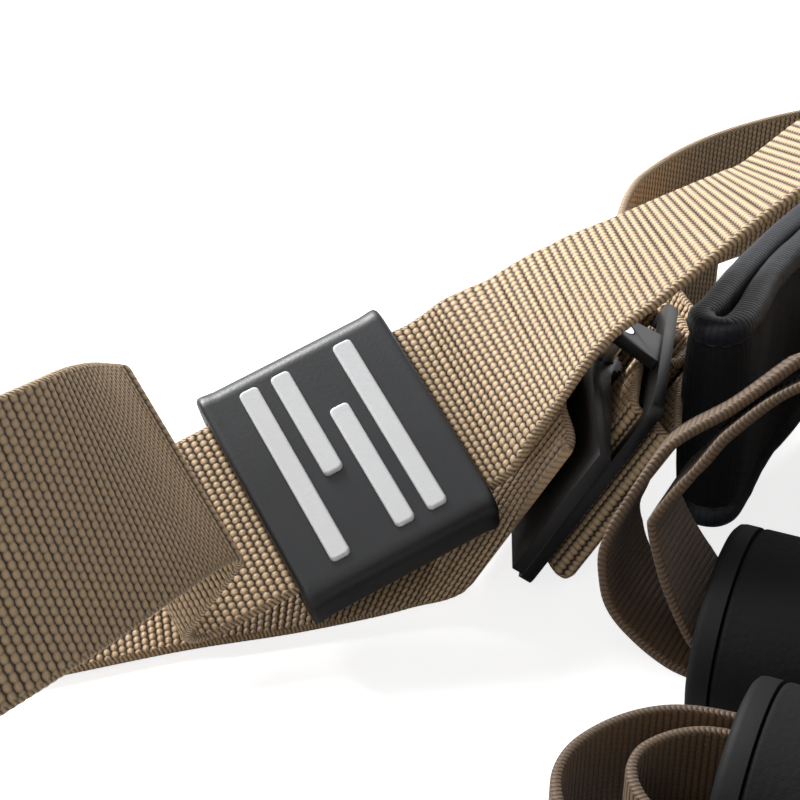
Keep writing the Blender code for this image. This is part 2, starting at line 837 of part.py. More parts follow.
def make_grip(side, frame):
    # First axis along the grip, from its left end
    outer = grip_radius
    seat = grip_radius - grip_cover_wall
    core = seat - grip_clearance
    start = cap_length + grip_clearance
    end = start + grip_length
    cover = [
        (start, seat),
        (start, outer * 0.97),
        (start + cap_length * 0.3, outer),
        (end - cap_length * 0.3, outer),
        (end, outer * 0.97),
        (end, seat),
    ]
    grip = lathe(f"{side}_grip_cover", "foam", frame, cover)
    tube = [(start, core - grip_core_wall), (start, core), (end, core), (end, core - grip_core_wall)]
    lathe(f"{side}_grip_core", "rubber", frame, tube)
    for where, low, way in (("left", 0, 1), ("right", end + start, -1)):
        cap = [
            (low, cap_bore + grip_clearance),
            (low, outer * 0.94),
            (low + way * cap_length * 0.25, outer),
            (low + way * cap_length, outer),
            (low + way * cap_length, cap_bore),
            (low + way * cap_length * 0.1, cap_bore),
        ]
        lathe(f"{side}_grip_{where}_cap", "rubber", frame, cap)
    return grip


def carabiner_path(bar_radius, length, width, rings=6):
    # Centre line in the plane of the ring, from the hinge end round to the nose end
    half = width / 2 - bar_radius
    reach = length / 2 - bar_radius
    points = [(half, reach - half * 1.15)]
    points += arc((0, reach - half), half, 0, 180, 2 * rings)
    points += arc((0, half - reach), half, 180, 360, 2 * rings)
    points.append((half, half * 1.15 - reach))
    return points


def make_carabiner(name, frame, bar_radius, length, width):
    centre_line = carabiner_path(bar_radius, length, width)
    hinge = centre_line[0]
    nose = centre_line[-1]
    path = [frame @ Vector((a, b, 0)) for a, b in centre_line]
    path.insert(0, frame @ Vector((hinge[0], hinge[1] - bar_radius * 0.6, 0)))
    body = bar(f"{name}_body", "steel", path, bar_radius, 16)
    tongue = bar_radius * 0.4
    pin_spot = hinge[1] + bar_radius * 0.6
    slot_low = (hinge[0] - bar_radius * 2, hinge[1] - bar_radius * 2, -tongue - gate_clearance)
    slot_high = (hinge[0] + bar_radius * 2, pin_spot + bar_radius * 1.45, tongue + gate_clearance)
    combine(body, block("slot", "steel", frame, slot_low, slot_high), "DIFFERENCE")
    across = frame @ Matrix(((0, 1, 0, 0), (0, 0, 1, 0), (1, 0, 0, 0), (0, 0, 0, 1)))
    drill = rod("drill", "steel", across, -bar_radius * 2, bar_radius * 2, hinge[0], pin_spot, gate_pin_radius + gate_clearance)
    combine(body, drill, "DIFFERENCE")

    gate_top = pin_spot - bar_radius * 1.75 - gate_clearance
    gate_low = nose[1] + gate_clearance * 2
    gate_path = [
        frame @ Vector((hinge[0], gate_low, 0)),
        frame @ Vector((hinge[0], gate_low + bar_radius * 0.2, 0)),
        frame @ Vector((hinge[0], gate_top, 0)),
    ]
    gate = bar(f"{name}_gate", "steel", gate_path, bar_radius * 0.9, 16)
    shape = [(hinge[0] - bar_radius * 0.8, gate_top - bar_radius)]
    shape += arc((hinge[0], pin_spot), bar_radius * 0.8, 180, 0, 8)
    shape.append((hinge[0] + bar_radius * 0.8, gate_top - bar_radius))
    combine(gate, prism("tongue", "steel", across, shape, -tongue, tongue), "UNION")
    drill = rod("drill", "steel", across, -bar_radius * 2, bar_radius * 2, hinge[0], pin_spot, gate_pin_radius + gate_clearance)
    combine(gate, drill, "DIFFERENCE")
    set_origin(gate, frame @ Vector((hinge[0], pin_spot, 0)))
    pin_half = bar_radius * 0.8
    pin = rod(f"{name}_gate_pin", "steel", across, -pin_half, pin_half, hinge[0], pin_spot, gate_pin_radius)
    pin.data.polygons.foreach_set("use_smooth", [True] * len(pin.data.polygons))
    for thing in (body, gate):
        thing.data.polygons.foreach_set("use_smooth", [True] * len(thing.data.polygons))
        thing.data.set_sharp_from_angle(angle=math.radians(40))


def keeper_frame():
    ahead = direction(keeper_heading, 0)
    aside = direction(keeper_heading - 90, 0)
    along = (ahead * math.cos(math.radians(keeper_rise)) + up * math.sin(math.radians(keeper_rise))).normalized()
    level = aside.cross(along)
    lean = math.radians(keeper_lean)
    across = (aside * math.cos(lean) - level * math.sin(lean)).normalized()
    above = across.cross(along)
    return frame_at(Vector(keeper_place_share) * lay_pace, across, along, above)


def make_keeper(frame):
    hole_width = webbing_width / 2 + keeper_clearance
    hole_height = webbing_thickness + 1.5 * webbing_gap
    half_width = hole_width + keeper_side_wall
    half_height = hole_height + keeper_face_wall
    half_length = keeper_length / 2
    turned = frame @ Matrix(((0, 1, 0, 0), (1, 0, 0, 0), (0, 0, 1, 0), (0, 0, 0, 1)))
    levels = (
        (-half_length, keeper_lip),
        (keeper_lip_length - half_length, keeper_lip),
        (keeper_lip_length * 1.5 - half_length, 0),
        (half_length - keeper_lip_length * 1.5, 0),
        (half_length - keeper_lip_length, keeper_lip),
        (half_length, keeper_lip),
    )
    points = []
    for along, lip in levels:
        outline = rounded_rectangle(half_width + lip, half_height + lip, keeper_corner)
        points += [turned @ Vector((along, a, b)) for a, b in outline]
    size = len(outline)
    faces = []
    for ring in range(len(levels) - 1):
        for i in range(size):
            j = (i + 1) % size
            faces.append((ring * size + i, ring * size + j, (ring + 1) * size + j, (ring + 1) * size + i))
    faces += [tuple(range(size)), tuple(range(len(points) - size, len(points)))]
    keeper = object_from("rubber_keeper", "rubber", points, faces)
    window = rounded_rectangle(hole_width, hole_height, webbing_gap)
    combine(keeper, prism("window", "rubber", turned, window, -keeper_length, keeper_length), "DIFFERENCE")
    # Raised bars across the upper face, in three lengths
    face = half_height - keeper_mark_height
    top = half_height + keeper_mark_height
    mark_shares = ((-0.26, -0.5, 0.5), (-0.09, -0.5, 0.1), (0.08, -0.2, 0.5), (0.25, -0.5, 0.5))
    for along, start, end in mark_shares:
        low = (start * webbing_width, (along - 0.045) * keeper_length, face)
        high = (end * webbing_width, (along + 0.045) * keeper_length, top)
        combine(keeper, block("mark", "rubber", frame, low, high), "UNION")
    set_origin(keeper, frame.translation)


def over_buckle(frame, edge, rib, shares):
    # In over the lever and ears, round the far bar and up through the last slot
    lift = axle_height + ear_radius + webbing_thickness / 2 + webbing_gap
    bar_middle = plate_length - plate_far_bar / 2
    wrap = plate_far_bar / 2 + webbing_thickness / 2 + webbing_gap
    turns = (
        (bar_middle - wrap * 0.5, axle_height),
        (bar_middle + wrap * 0.8, wrap * 1.2),
        (bar_middle + wrap * 1.1, 0),
        (bar_middle + wrap * 0.75, -wrap * 0.75),
        (bar_middle, -wrap * 1.05),
        (bar_middle - wrap * 0.8, -wrap * 0.7),
        (slot_three - plate_slot * 0.05, plate_thickness * 0.2),
        (slot_three - plate_slot * 0.1, plate_thickness * 1.1),
    )
    spots = [(edge + shift * lay_pace, along * lay_pace, lift + rise * lay_pace) for shift, along, rise in shares]
    spots += [(edge, along, above) for along, above in turns]
    return [(frame @ Vector(spot), rib) for spot in spots]


def through_buckle(frame, edge, rib):
    # Up through the first slot, over the bridge under the cam and down through the second
    over = plate_thickness / 2 + webbing_thickness / 2 + webbing_gap
    turns = (
        (slot_one, 0),
        (slot_one + plate_slot * 0.3, over * 0.8),
        (bridge_start + plate_slot * 0.6, over),
        (bridge_end - plate_slot * 0.6, over),
        (slot_two - plate_slot * 0.3, over * 0.8),
        (slot_two, 0),
        (slot_two + plate_slot * 0.15, -over * 0.75),
    )
    return [(frame @ Vector((edge, along, above)), rib) for along, above in turns]


def beside(frame, shares):
    # A route along a grip: distances along it, behind it and above the floor
    floor_frame = frame.copy()
    floor_frame.translation.z = 0
    found = []
    for along, behind, above, heading, tilt in shares:
        place = floor_frame @ (Vector((along, behind, above)) * lay_pace)
        found.append((place, direction(heading, tilt)))
    return found


def make_upper_straps(keeper, visible, hidden):
    floor = (webbing_thickness + webbing_gap) / 2
    start = upper_hank_share * lay_pace
    length = upper_hank_length
    anchor_eye = eye(upper_eye_length, floor, upper_eye_height, upper_eye_seam)
    anchor_eye.reverse()

    # The kept strap: anchor eye, hank, rise towards the camera, roll, S fold, keeper, arch, buckle
    place = Vector(left_eye_share) * lay_pace
    kept = upright(place, 180, -90, anchor_eye)
    folded = hank(start, length, upper_hank_runs, floor, hank_pitch)
    kept += upright(Vector((0, place.y, 0)), 0, 90, folded)
    kept += route(rising_shares)
    keeper_rib = -keeper.col[0].to_3d()
    for along, above, heading, tilt in fold_shares:
        spot = Vector((webbing_width / 2, along * lay_pace, above * lay_pace))
        kept.append((keeper @ spot, direction(heading, tilt)))
    layer = (webbing_thickness + webbing_gap) / 2
    for along in (-0.52, 0, 0.52):
        spot = Vector((webbing_width / 2, along * keeper_length, layer))
        kept.append((keeper @ spot, keeper_rib))
    kept += route(arch_shares)
    far_edge = strap_start + webbing_width
    kept += over_buckle(hidden, far_edge, -hidden.col[0].to_3d(), ((0, 0.2, 0), (0, 2.4, 0.05)))
    ribbon("left_upper_strap", "webbing", smoothed(kept), webbing_width)

    # The strap below it: anchor eye, hank, along the floor, over the lever of the visible buckle
    place = Vector(right_eye_share) * lay_pace
    low = upright(place, 180, -90, anchor_eye)
    folded = hank(0, length, upper_hank_runs, floor, hank_pitch)
    folded.reverse()
    low += upright(Vector((start + length, place.y, 0)), 180, -90, folded)
    low += route(floor_shares)
    over_shares = ((-0.85, -0.4, -0.435), (-0.75, 0.8, -0.08), (-0.55, 2.4, 0.06), (-0.15, 3.3, -0.22))
    low += over_buckle(visible, strap_start, visible.col[0].to_3d(), over_shares)
    ribbon("right_upper_strap", "webbing", smoothed(low), webbing_width)


def make_adjusting_straps(visible, hidden, left_grip, right_grip):
    floor = (webbing_thickness + webbing_gap) / 2
    # The right one: free tail, in round the end bar, over the bridge, then round the back
    rib = visible.col[0].to_3d()
    right = route(reversed(right_tail_shares))
    for along, across, above in reversed(outer_leg_shares):
        right.append((visible @ (Vector((across, along, above)) * lay_pace), rib))
    right += through_buckle(visible, strap_start, rib)
    for along, across, above in inner_leg_shares:
        right.append((visible @ (Vector((across, along, above)) * lay_pace), rib))
    right += route(right_round_shares)
    right += beside(right_grip, right_end_shares)
    ribbon("right_adjusting_strap", "webbing", smoothed(right), webbing_width)

    # The left one: rolled tail, along the floor, through the hidden buckle and round to the grip
    edge = strap_start + webbing_width
    rib = -hidden.col[0].to_3d()
    along_way = hidden_buckle_heading
    corner = hidden @ Vector((edge, 0, 0))
    corner.z = 0
    back = roll(tail_roll_length, tail_roll_radius, tail_roll_turns, tail_roll_pitch, floor)
    back.reverse()
    place = corner - direction(along_way, 0) * (roll_distance_share * lay_pace)
    left = upright(place, along_way, 90, back)
    lifted = ((-2.4, 0.0), (-1.2, 0.15), (-0.4, 0.4), (0.15, 0.455), (0.35, 0.47), (0.47, 0.53), (0.53, 0.65))
    left += upright(corner, along_way, 90, [(a * lay_pace, floor + b * lay_pace) for a, b in lifted])
    left += through_buckle(hidden, edge, rib)
    leaving = ((3.05, 0.38), (3.45, 0.16), (3.9, 0.08), (4.8, 0.05), (6.0, 0.0))
    left += upright(corner, along_way, 90, [(a * lay_pace, floor + b * lay_pace) for a, b in leaving])
    left += route(left_round_shares)
    left += beside(left_grip, left_end_shares)
    ribbon("left_adjusting_strap", "webbing", smoothed(left), webbing_width)


def make_handles(left_grip, right_grip):
    left = beside(left_grip, left_handle_end_shares)
    left += list(reversed(route(left_handle_rise_shares)))
    left += beside(left_grip, left_handle_shares)
    ribbon("left_handle_strap", "handle_webbing", smoothed(left), handle_webbing_width)
    right = beside(right_grip, right_handle_shares)
    ribbon("right_handle_strap", "handle_webbing", smoothed(right), handle_webbing_width)

    # The left cradle strap: out of the grip, up and over the roll, along the pad, back through
    # the pad, and round to the other end of the grip
    rise = beside(left_grip, left_cradle_bore_shares) + route(left_cradle_rise_shares)
    rest = route(left_cradle_back_shares) + beside(left_grip, left_cradle_end_shares)
    padded = route(left_pad_shares)
    whole = smoothed(rise + padded + rest)
    ribbon("left_cradle_strap", "handle_webbing", whole, handle_webbing_width)
    outer = (pad_width, pad_thickness)
    hole = (handle_webbing_width + 2 * webbing_gap, webbing_thickness + 2 * webbing_gap)
    sleeve("left_padded_sleeve", "pad", inside(whole, padded), handle_webbing_width, outer, hole, pad_thickness * 0.3)

    start = beside(right_grip, right_cradle_bore_shares)
    folded = beside(right_grip, right_pad_shares)
    rest = beside(right_grip, right_cradle_back_shares)
    whole = smoothed(start + folded + rest)
    ribbon("right_cradle_strap", "handle_webbing", whole, handle_webbing_width)
    sleeve("right_padded_sleeve", "pad", inside(whole, folded), handle_webbing_width, outer, hole, pad_thickness * 0.3)


def inside(whole, part):
    # The rings of the whole strap from the first place of this part of it to the last
    ends = []
    for place, _ in (part[0], part[-1]):
        ends.append(min(range(len(whole)), key=lambda i: (whole[i][0] - place).length))
    return whole[min(ends) : max(ends) + 1]


def make_covers(left_grip, right_grip):
    # Two straps go in at one end of a cover and one at the other
    hole_height = 2 * webbing_thickness + 3 * stack_gap
    hole = (webbing_width + 2 * webbing_gap, hole_height)
    outer = (hole[0] + 2 * cover_side_wall, hole_height + 2 * cover_wall)
    for name, frame, along, behind in (
        ("left_end_cover", left_grip, left_cover_share[0], left_cover_share[1]),
        ("right_end_cover", right_grip, right_cover_share[0], right_cover_share[1]),
    ):
        floor_frame = frame.copy()
        floor_frame.translation.z = 0
        rib = floor_frame.col[1].to_3d()
        lift = outer[1] / 2 + webbing_gap
        near = behind * lay_pace - webbing_width / 2
        start = along * lay_pace
        stations = [
            (floor_frame @ Vector((start + part * cover_length, near, lift)), rib) for part in (0, 1)
        ]
        sleeve(name, "black_webbing", stations, webbing_width, outer, hole, cover_wall)


def make_anchor():
    floor = (webbing_thickness + webbing_gap) / 2
    near = Vector((left_eye_share[0] - loop_aside_share, 0, 0)) * lay_pace
    loop = [(a * lay_pace, b * lay_pace) for a, b in equalizer_shares]
    stations = smoothed(upright(near, 90, 90, loop + loop[:1]))[:-1]
    ribbon("equalizer_loop", "black_webbing", stations, equalizer_width, webbing_thickness, True)

    middle = near.x - equalizer_width / 2
    # The loop holds one end of the carabiner, and the anchor strap starts from the other
    near_end = Vector((middle, main_end_share[0] * lay_pace, main_end_share[1] * lay_pace))
    place = near_end + direction(90, 0) * (main_length / 2)
    flat = frame_at(place, Vector((1, 0, 0)), Vector((0, 1, 0)), up)
    make_carabiner("main_carabiner", flat, main_bar, main_length, main_width)

    edge = middle - handle_webbing_width / 2
    start = near_end.y + main_length + near_eye_ahead
    near_eye = eye(near_eye_length, floor, near_eye_height, anchor_eye_seam)
    near_eye.reverse()
    strap = upright(Vector((edge, start, 0)), -90, 90, near_eye)
    folded = hank(anchor_hank_share * lay_pace, anchor_hank_length, anchor_hank_runs, floor, hank_pitch)
    folded += [(along * lay_pace, above * lay_pace) for along, above in anchor_rise_shares]
    strap += upright(Vector((edge, start, 0)), 90, -90, folded)
    far_eye = eye(far_eye_length, floor, far_eye_height, anchor_eye_seam)
    strap += upright(Vector((edge, start + far_eye_share * lay_pace, 0)), 90, -90, far_eye)
    ribbon("anchor_strap", "black_webbing", smoothed(strap), handle_webbing_width)

    ahead = direction(90, -anchor_drop)
    far = start + anchor_end_share * lay_pace + anchor_length / 2
    place = Vector((middle, far, anchor_height_share * lay_pace))
    tilted = frame_at(place, Vector((1, 0, 0)), ahead, Vector((1, 0, 0)).cross(ahead))
    make_carabiner("anchor_carabiner", tilted, anchor_bar, anchor_length, anchor_width)


def settle():
    # The finished part stands with the middle of its footprint at the origin
    bpy.context.view_layer.update()
    things = [thing for thing in bpy.context.scene.objects if thing.type == "MESH"]
    corners = [thing.matrix_world @ vertex.co for thing in things for vertex in thing.data.vertices]
    low = [min(corner[i] for corner in corners) for i in range(3)]
    high = [max(corner[i] for corner in corners) for i in range(3)]
    shift = Vector((-(low[0] + high[0]) / 2, -(low[1] + high[1]) / 2, -low[2]))
    for thing in things:
        if thing.location.length:
            thing.location += shift
        else:
            thing.data.transform(Matrix.Translation(shift))


def main():
    clear_scene()
    keeper = keeper_frame()
    make_keeper(keeper)
    visible_along = direction(visible_buckle_heading, 0)
    across = direction(visible_buckle_heading - 90, visible_buckle_tilt)
    place = Vector(visible_buckle_share) * lay_pace
    visible = frame_at(place, across, visible_along, across.cross(visible_along))
    hidden_along = direction(hidden_buckle_heading, 0)
    place = Vector(hidden_buckle_share) * lay_pace
    hidden = frame_at(place, hidden_along.cross(up), hidden_along, up)
    make_buckle("right", visible)
    make_buckle("left", hidden)
    grips = []
    for side, share in (("left", left_grip_share), ("right", right_grip_share)):
        place = Vector(share) * lay_pace
        frame = frame_at(place, direction(grip_heading, 0), direction(grip_heading + 90, 0), up)
        cover = make_grip(side, frame)
        set_origin(cover, frame @ Vector((cap_length + grip_length / 2, 0, 0)))
        grips.append(frame)
    make_upper_straps(keeper, visible, hidden)
    make_adjusting_straps(visible, hidden, *grips)
    make_handles(*grips)
    make_covers(*grips)
    make_anchor()
    settle()


main()
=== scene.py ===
import json
import math

import bmesh
import bpy
from mathutils import Matrix, Vector, noise

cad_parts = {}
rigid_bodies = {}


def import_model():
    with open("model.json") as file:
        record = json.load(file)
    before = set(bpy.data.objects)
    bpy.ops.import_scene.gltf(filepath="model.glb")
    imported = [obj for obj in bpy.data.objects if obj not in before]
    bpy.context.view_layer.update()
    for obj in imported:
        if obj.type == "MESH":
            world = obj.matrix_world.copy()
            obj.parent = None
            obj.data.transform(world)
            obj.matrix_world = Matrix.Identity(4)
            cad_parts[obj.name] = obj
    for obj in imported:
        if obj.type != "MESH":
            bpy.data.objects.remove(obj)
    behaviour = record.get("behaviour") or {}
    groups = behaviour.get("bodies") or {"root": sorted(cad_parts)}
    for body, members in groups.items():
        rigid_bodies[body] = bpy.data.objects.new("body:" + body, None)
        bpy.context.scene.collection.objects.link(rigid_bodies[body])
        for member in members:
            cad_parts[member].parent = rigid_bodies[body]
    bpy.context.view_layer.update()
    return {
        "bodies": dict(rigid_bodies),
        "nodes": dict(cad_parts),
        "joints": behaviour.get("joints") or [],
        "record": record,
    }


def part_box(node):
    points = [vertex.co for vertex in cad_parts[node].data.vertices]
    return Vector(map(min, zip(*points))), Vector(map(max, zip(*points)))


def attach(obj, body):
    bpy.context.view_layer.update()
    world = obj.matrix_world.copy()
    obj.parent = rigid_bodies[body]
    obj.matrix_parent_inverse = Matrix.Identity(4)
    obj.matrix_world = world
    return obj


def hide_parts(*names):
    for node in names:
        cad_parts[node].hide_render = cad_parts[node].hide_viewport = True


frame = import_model()
print("frame loaded:", len(frame["nodes"]), "nodes")

# Sizes shared by the straps and what they run through, in metres and degrees
webbingWidth = 0.038
webbingThickness = 0.0024
webbingGap = 0.0005
handleWebbingWidth = 0.025
equalizerWidth = 0.018
layPace = 0.01
turnPerRing = 7.0
bendRings = 10
loopAsideShare = 0.9
hankPitch = 0.0052
stackGap = 0.0006

keeper = {
    "length": 0.0382, "sideWall": 0.0045, "faceWall": 0.0034, "corner": 0.0042,
    "lipLength": 0.0024, "clearance": 0.0004, "placeShare": (-0.16, -0.64, 2.65),
    "heading": 22.3, "rise": 18.6, "lean": 28.7, "markHeight": 0.0009, "markWidth": 0.0038,
    "markCorner": 0.0009, "cornerSteps": 8, "markSteps": 4,
}
buckle = {
    "plateThickness": 0.0023, "rail": 0.004, "endBar": 0.0035, "slot": 0.004, "bridge": 0.0185,
    "middleBar": 0.006, "farBar": 0.004, "sideClearance": 0.0005, "earRadius": 0.0042,
    "axleHeight": 0.0085, "visibleShare": (3.18, -0.96, 0.075), "visibleHeading": 78.5,
    "visibleTilt": 61.0, "hiddenShare": (25.66, 0.01, 0.9), "hiddenHeading": -14.5,
    "brokenEdge": 0.0003,
}
grip = {
    "length": 0.117, "radius": 0.018, "coverWall": 0.0025, "capLength": 0.004, "capBore": 0.0138,
    "clearance": 0.0003, "heading": -24.9, "leftShare": (6.1, -4.5, 1.82),
    "rightShare": (5.7, -8.5, 1.82), "sides": 96,
    "edgeRoll": 0.0009, "rollSteps": 5,
}
pad = {
    "width": 0.044, "thickness": 0.0052, "binding": 0.0048, "wrinkle": 0.00035, "coverWidth": 0.0435,
    "coverLength": 0.036, "coverWall": 0.0016, "ringSpacing": 0.0014, "endSwell": 0.55,
    "swellLength": 0.012, "creaseScale": 90, "puckerScale": 260, "puckerShare": 0.4,
    "coverSteps": 14, "mouthFall": 0.04, "coverInset": 0.004,
}
seam = {"clothThick": 0.0019, "lift": 0.0002, "inset": 0.003, "tackTurns": 26, "tackReach": 0.0011}
tackPlaces = {"arm": (-0.0015, -0.0075), "anchor": (-0.0015, -0.006)}
metal = {"weld": 0.00001, "flatAngle": 1.5, "bevelAngle": 40, "sharpAngle": 35, "segments": 2}

# Routes of the straps, as shares of the pace: places of one selvedge, with the heading and tilt
# of the direction across the strap where the route gives them
leftEyeShare = (-27.0, -11.4, 0)
rightEyeShare = (-27.0, -7.2, 0)
risingShares = (
    (-13.0, -11.4, 2.45, 91, 3),
    (-11.2, -11.8, 2.9, 100, 14),
    (-9.2, -12.1, 3.6, 113, 27),
    (-7.2, -12.1, 4.3, 125, 38),
    (-5.5, -11.6, 4.8, 134, 47),
    (-4.23, -10.4, 4.96, 137, 50),
    (-3.05, -8.38, 4.62, 131, 53),
    (-2.36, -6.83, 4.24, 135, 50),
)
foldShares = (
    (-2.8, 2.76, 138, 46),
    (-2.66, 2.54, 138, 46),
    (-2.76, 2.3, 138, 46),
    (-3.08, 1.89, 134, 42),
    (-3.58, 1.32, 130, 38),
    (-3.86, 1.0, 128, 35),
    (-4.0, 0.68, 125, 30),
    (-3.9, 0.36, 124, 28),
    (-3.6, 0.18, 123, 27),
    (-3.1, 0.15, 122, 27),
)
archShares = (
    (2.89, -1.35, 2.86, 120, 25),
    (3.27, -1.37, 3.61, 116, 17),
    (3.63, -1.41, 4.25, 108, 11),
    (4.38, -1.33, 5.46, 100, 2),
    (5.36, -1.21, 6.29, 97, -3),
    (6.34, -1.0, 7.09, 96, -9),
    (7.53, -0.68, 7.98, 95, -16),
    (9.2, -0.35, 8.9, 97, -14),
    (11.0, -0.2, 9.3, 95, -11),
    (13.0, -0.35, 9.2, 89, -8),
    (15.0, -0.9, 8.5, 83, -5),
    (16.8, -1.6, 7.3, 78, -2),
    (18.5, -2.25, 5.9, 76, 0),
    (20.2, -2.87, 4.5, 75.5, 0),
    (21.9, -3.37, 3.3, 75.5, 0),
    (23.6, -3.83, 2.6, 75.5, 0),
)
floorShares = (
    (-12.2, -6.5, 0.16, 94, 3),
    (-10.0, -5.5, 0.15, 102, 12),
    (-7.5, -4.5, 0.15, 109, 25),
    (-5.2, -3.75, 0.15, 110, 27),
    (-3.0, -3.0, 0.15, 100, 22),
    (-0.9, -2.45, 0.15, 82, 22),
    (0.94, -1.8, 0.15, 54, 34),
)
outerLegShares = (
    (0.52, 0.45, -0.18),
    (0.36, 0.47, -0.3),
    (0.2, 0.5, -0.43),
    (0.22, 0.5, -0.56),
    (0.43, 0.5, -0.64),
    (1.17, 0.5, -0.6),
    (2.4, 0.5, -0.6),
    (3.3, 0.6, -0.82),
    (4.2, 0.75, -1.0),
)
innerLegShares = (
    (3.1, 0.45, -0.42),
    (3.6, 0.5, -0.6),
    (4.3, 0.55, -0.7),
)
rightTailShares = (
    (5.4, 4.6, 0.2, -11, 72),
    (5.9, 6.4, 0.2, -11, 84),
    (6.9, 8.4, 0.2, -30, 88),
    (8.4, 10.2, 0.2, -50, 88),
)
rightRoundShares = (
    (4.75, 4.9, 0.2, -11, 70),
    (5.2, 7.0, 0.2, -11, 84),
    (6.3, 9.8, 0.2, -30, 88),
    (8.6, 12.6, 0.2, -50, 88),
    (12.0, 14.6, 0.2, -70, 88),
    (17.0, 15.6, 0.2, -85, 88),
    (24.0, 15.3, 0.2, -95, 88),
    (31.0, 13.0, 0.2, -110, 88),
    (37.0, 8.5, 0.2, -135, 88),
    (40.5, 2.0, 0.2, -160, 88),
    (41.8, -6.0, 0.2, 180, 88),
    (41.0, -14.0, 0.2, 165, 88),
    (38.3, -20.0, 0.2, 135, 88),
    (34.5, -23.0, 0.2, 100, 80),
)
rightEndShares = (
    (27.8, -3.3, 0.2, 65.1, 35),
    (26.6, -3.3, 0.16, 65.1, 3),
    (25.7, -3.3, 0.3, 65.1, 0),
    (24.9, -3.3, 0.51, 65.1, 0),
    (23.6, -3.3, 0.54, 65.1, 0),
)
leftCoverShare = (20.6, 0)
rightCoverShare = (21.3, -1.4)
rollDistanceShare = 14.2
leftRoundShares = (
    (32.2, -6.1, 0.15, 75.5, 8),
    (34.0, -6.8, 0.2, 70, 45),
    (36.0, -8.0, 0.2, 60, 80),
    (37.6, -10.0, 0.2, 20, 88),
    (38.0, -12.6, 0.2, 0, 88),
    (37.0, -15.3, 0.2, -40, 88),
    (34.8, -17.0, 0.2, -80, 85),
    (32.0, -16.6, 0.2, -110, 60),
)
leftEndShares = (
    (26.2, 1.9, 0.2, 245.1, 25),
    (25.1, 1.9, 0.2, 245.1, 3),
    (24.2, 1.9, 0.48, 245.1, 0),
    (22.9, 1.9, 0.54, 245.1, 0),
)
leftHandleEndShares = (
    (21.9, -1.25, 0.38, 65.1, 0),
    (20.7, -1.25, 0.38, 65.1, 0),
    (20.2, -1.15, 0.5, 65.1, 0),
    (19.2, -0.5, 1.2, 64, 0),
    (18.0, 0.6, 2.5, 62, 0),
    (16.8, 1.3, 3.4, 62, 0),
    (15.5, 1.4, 3.8, 62, 0),
)
leftHandleRiseShares = (
    (5.72, -5.7, 2.08, 65, -3),
    (5.51, -5.57, 2.3, 65, -8),
    (5.21, -5.34, 2.87, 67, -10),
    (5.0, -5.13, 3.44, 69, -14),
    (4.84, -4.87, 4.08, 71, -18),
    (4.9, -4.84, 4.24, 72, -19),
    (5.15, -4.78, 4.59, 74, -21),
    (5.62, -4.66, 5.15, 76, -24),
    (6.0, -4.52, 5.58, 77, -26),
    (7.02, -4.35, 6.32, 77, -26),
    (8.5, -4.6, 6.9, 74, -22),
    (10.2, -5.1, 6.9, 70, -15),
    (12.0, -5.8, 6.3, 66, -8),
    (14.0, -6.7, 5.3, 64, -3),
    (16.2, -7.7, 4.5, 62, 0),
)
leftHandleShares = (
    (0.2, -1.25, 2.02, 65.1, 0),
    (12.3, -1.25, 2.02, 65.1, 0),
    (13.2, -1.25, 2.5, 65.1, 0),
    (14.4, -1.25, 3.6, 65.1, 0),
    (15.8, -1.25, 4.6, 65.1, 0),
    (17.3, -1.25, 4.6, 65.1, 0),
    (18.7, -1.25, 3.4, 65.1, 0),
    (19.5, -1.25, 1.7, 65.1, 0),
    (20.1, -1.25, 0.8, 65.1, 0),
    (20.7, -1.25, 0.69, 65.1, 0),
    (21.9, -1.25, 0.68, 65.1, 0),
)
leftCradleBoreShares = (
    (0.2, -1.25, 1.62, 65.1, 0),
)
leftCradleRiseShares = (
    (5.2, -5.45, 1.75, 65, -6),
    (4.61, -5.13, 2.12, 66, -8),
    (4.25, -4.9, 2.54, 67, -10),
    (4.12, -4.72, 3.11, 68, -12),
    (4.15, -4.63, 3.54, 70, -15),
    (4.36, -4.54, 4.04, 72, -18),
    (4.74, -4.41, 4.69, 75, -22),
    (5.17, -4.27, 5.24, 77, -25),
    (6.11, -4.17, 5.86, 78, -27),
    (7.1, -4.0, 6.62, 79, -28),
    (8.5, -3.6, 7.5, 85, -45),
    (10.0, -2.7, 8.0, 95, -68),
    (11.6, -1.4, 8.1, 110, -85),
    (13.3, 0.4, 7.9, 120, -88),
    (14.9, 2.4, 7.3, 130, -88),
    (16.2, 4.6, 6.3, 140, -88),
    (16.9, 6.8, 5.3, 150, -88),
    (16.6, 8.3, 4.7, 200, -88),
    (15.6, 8.75, 4.5, 250, -88),
    (14.25, 8.3, 4.45, 280, -88),
    (12.15, 6.95, 4.45, 290, -88),
    (10.1, 5.2, 4.45, 300, -88),
    (8.55, 3.03, 4.45, 310, -88),
    (7.8, 1.75, 4.45, 320, -88),
    (7.1, 0.2, 4.45, 330, -88),
    (6.75, -0.2, 4.45, 350, -88),
    (6.4, -0.1, 4.45, 20, -88),
    (6.33, 0.28, 4.45, 60, -88),
)
leftPadShares = (
    (6.55, 0.65, 4.45, 80, -88),
    (7.3, 2.0, 4.45, 100, -88),
    (8.05, 3.3, 4.45, 110, -88),
    (9.7, 5.6, 4.45, 120, -88),
    (11.8, 7.4, 4.45, 130, -88),
    (14.0, 8.8, 4.45, 140, -88),
)
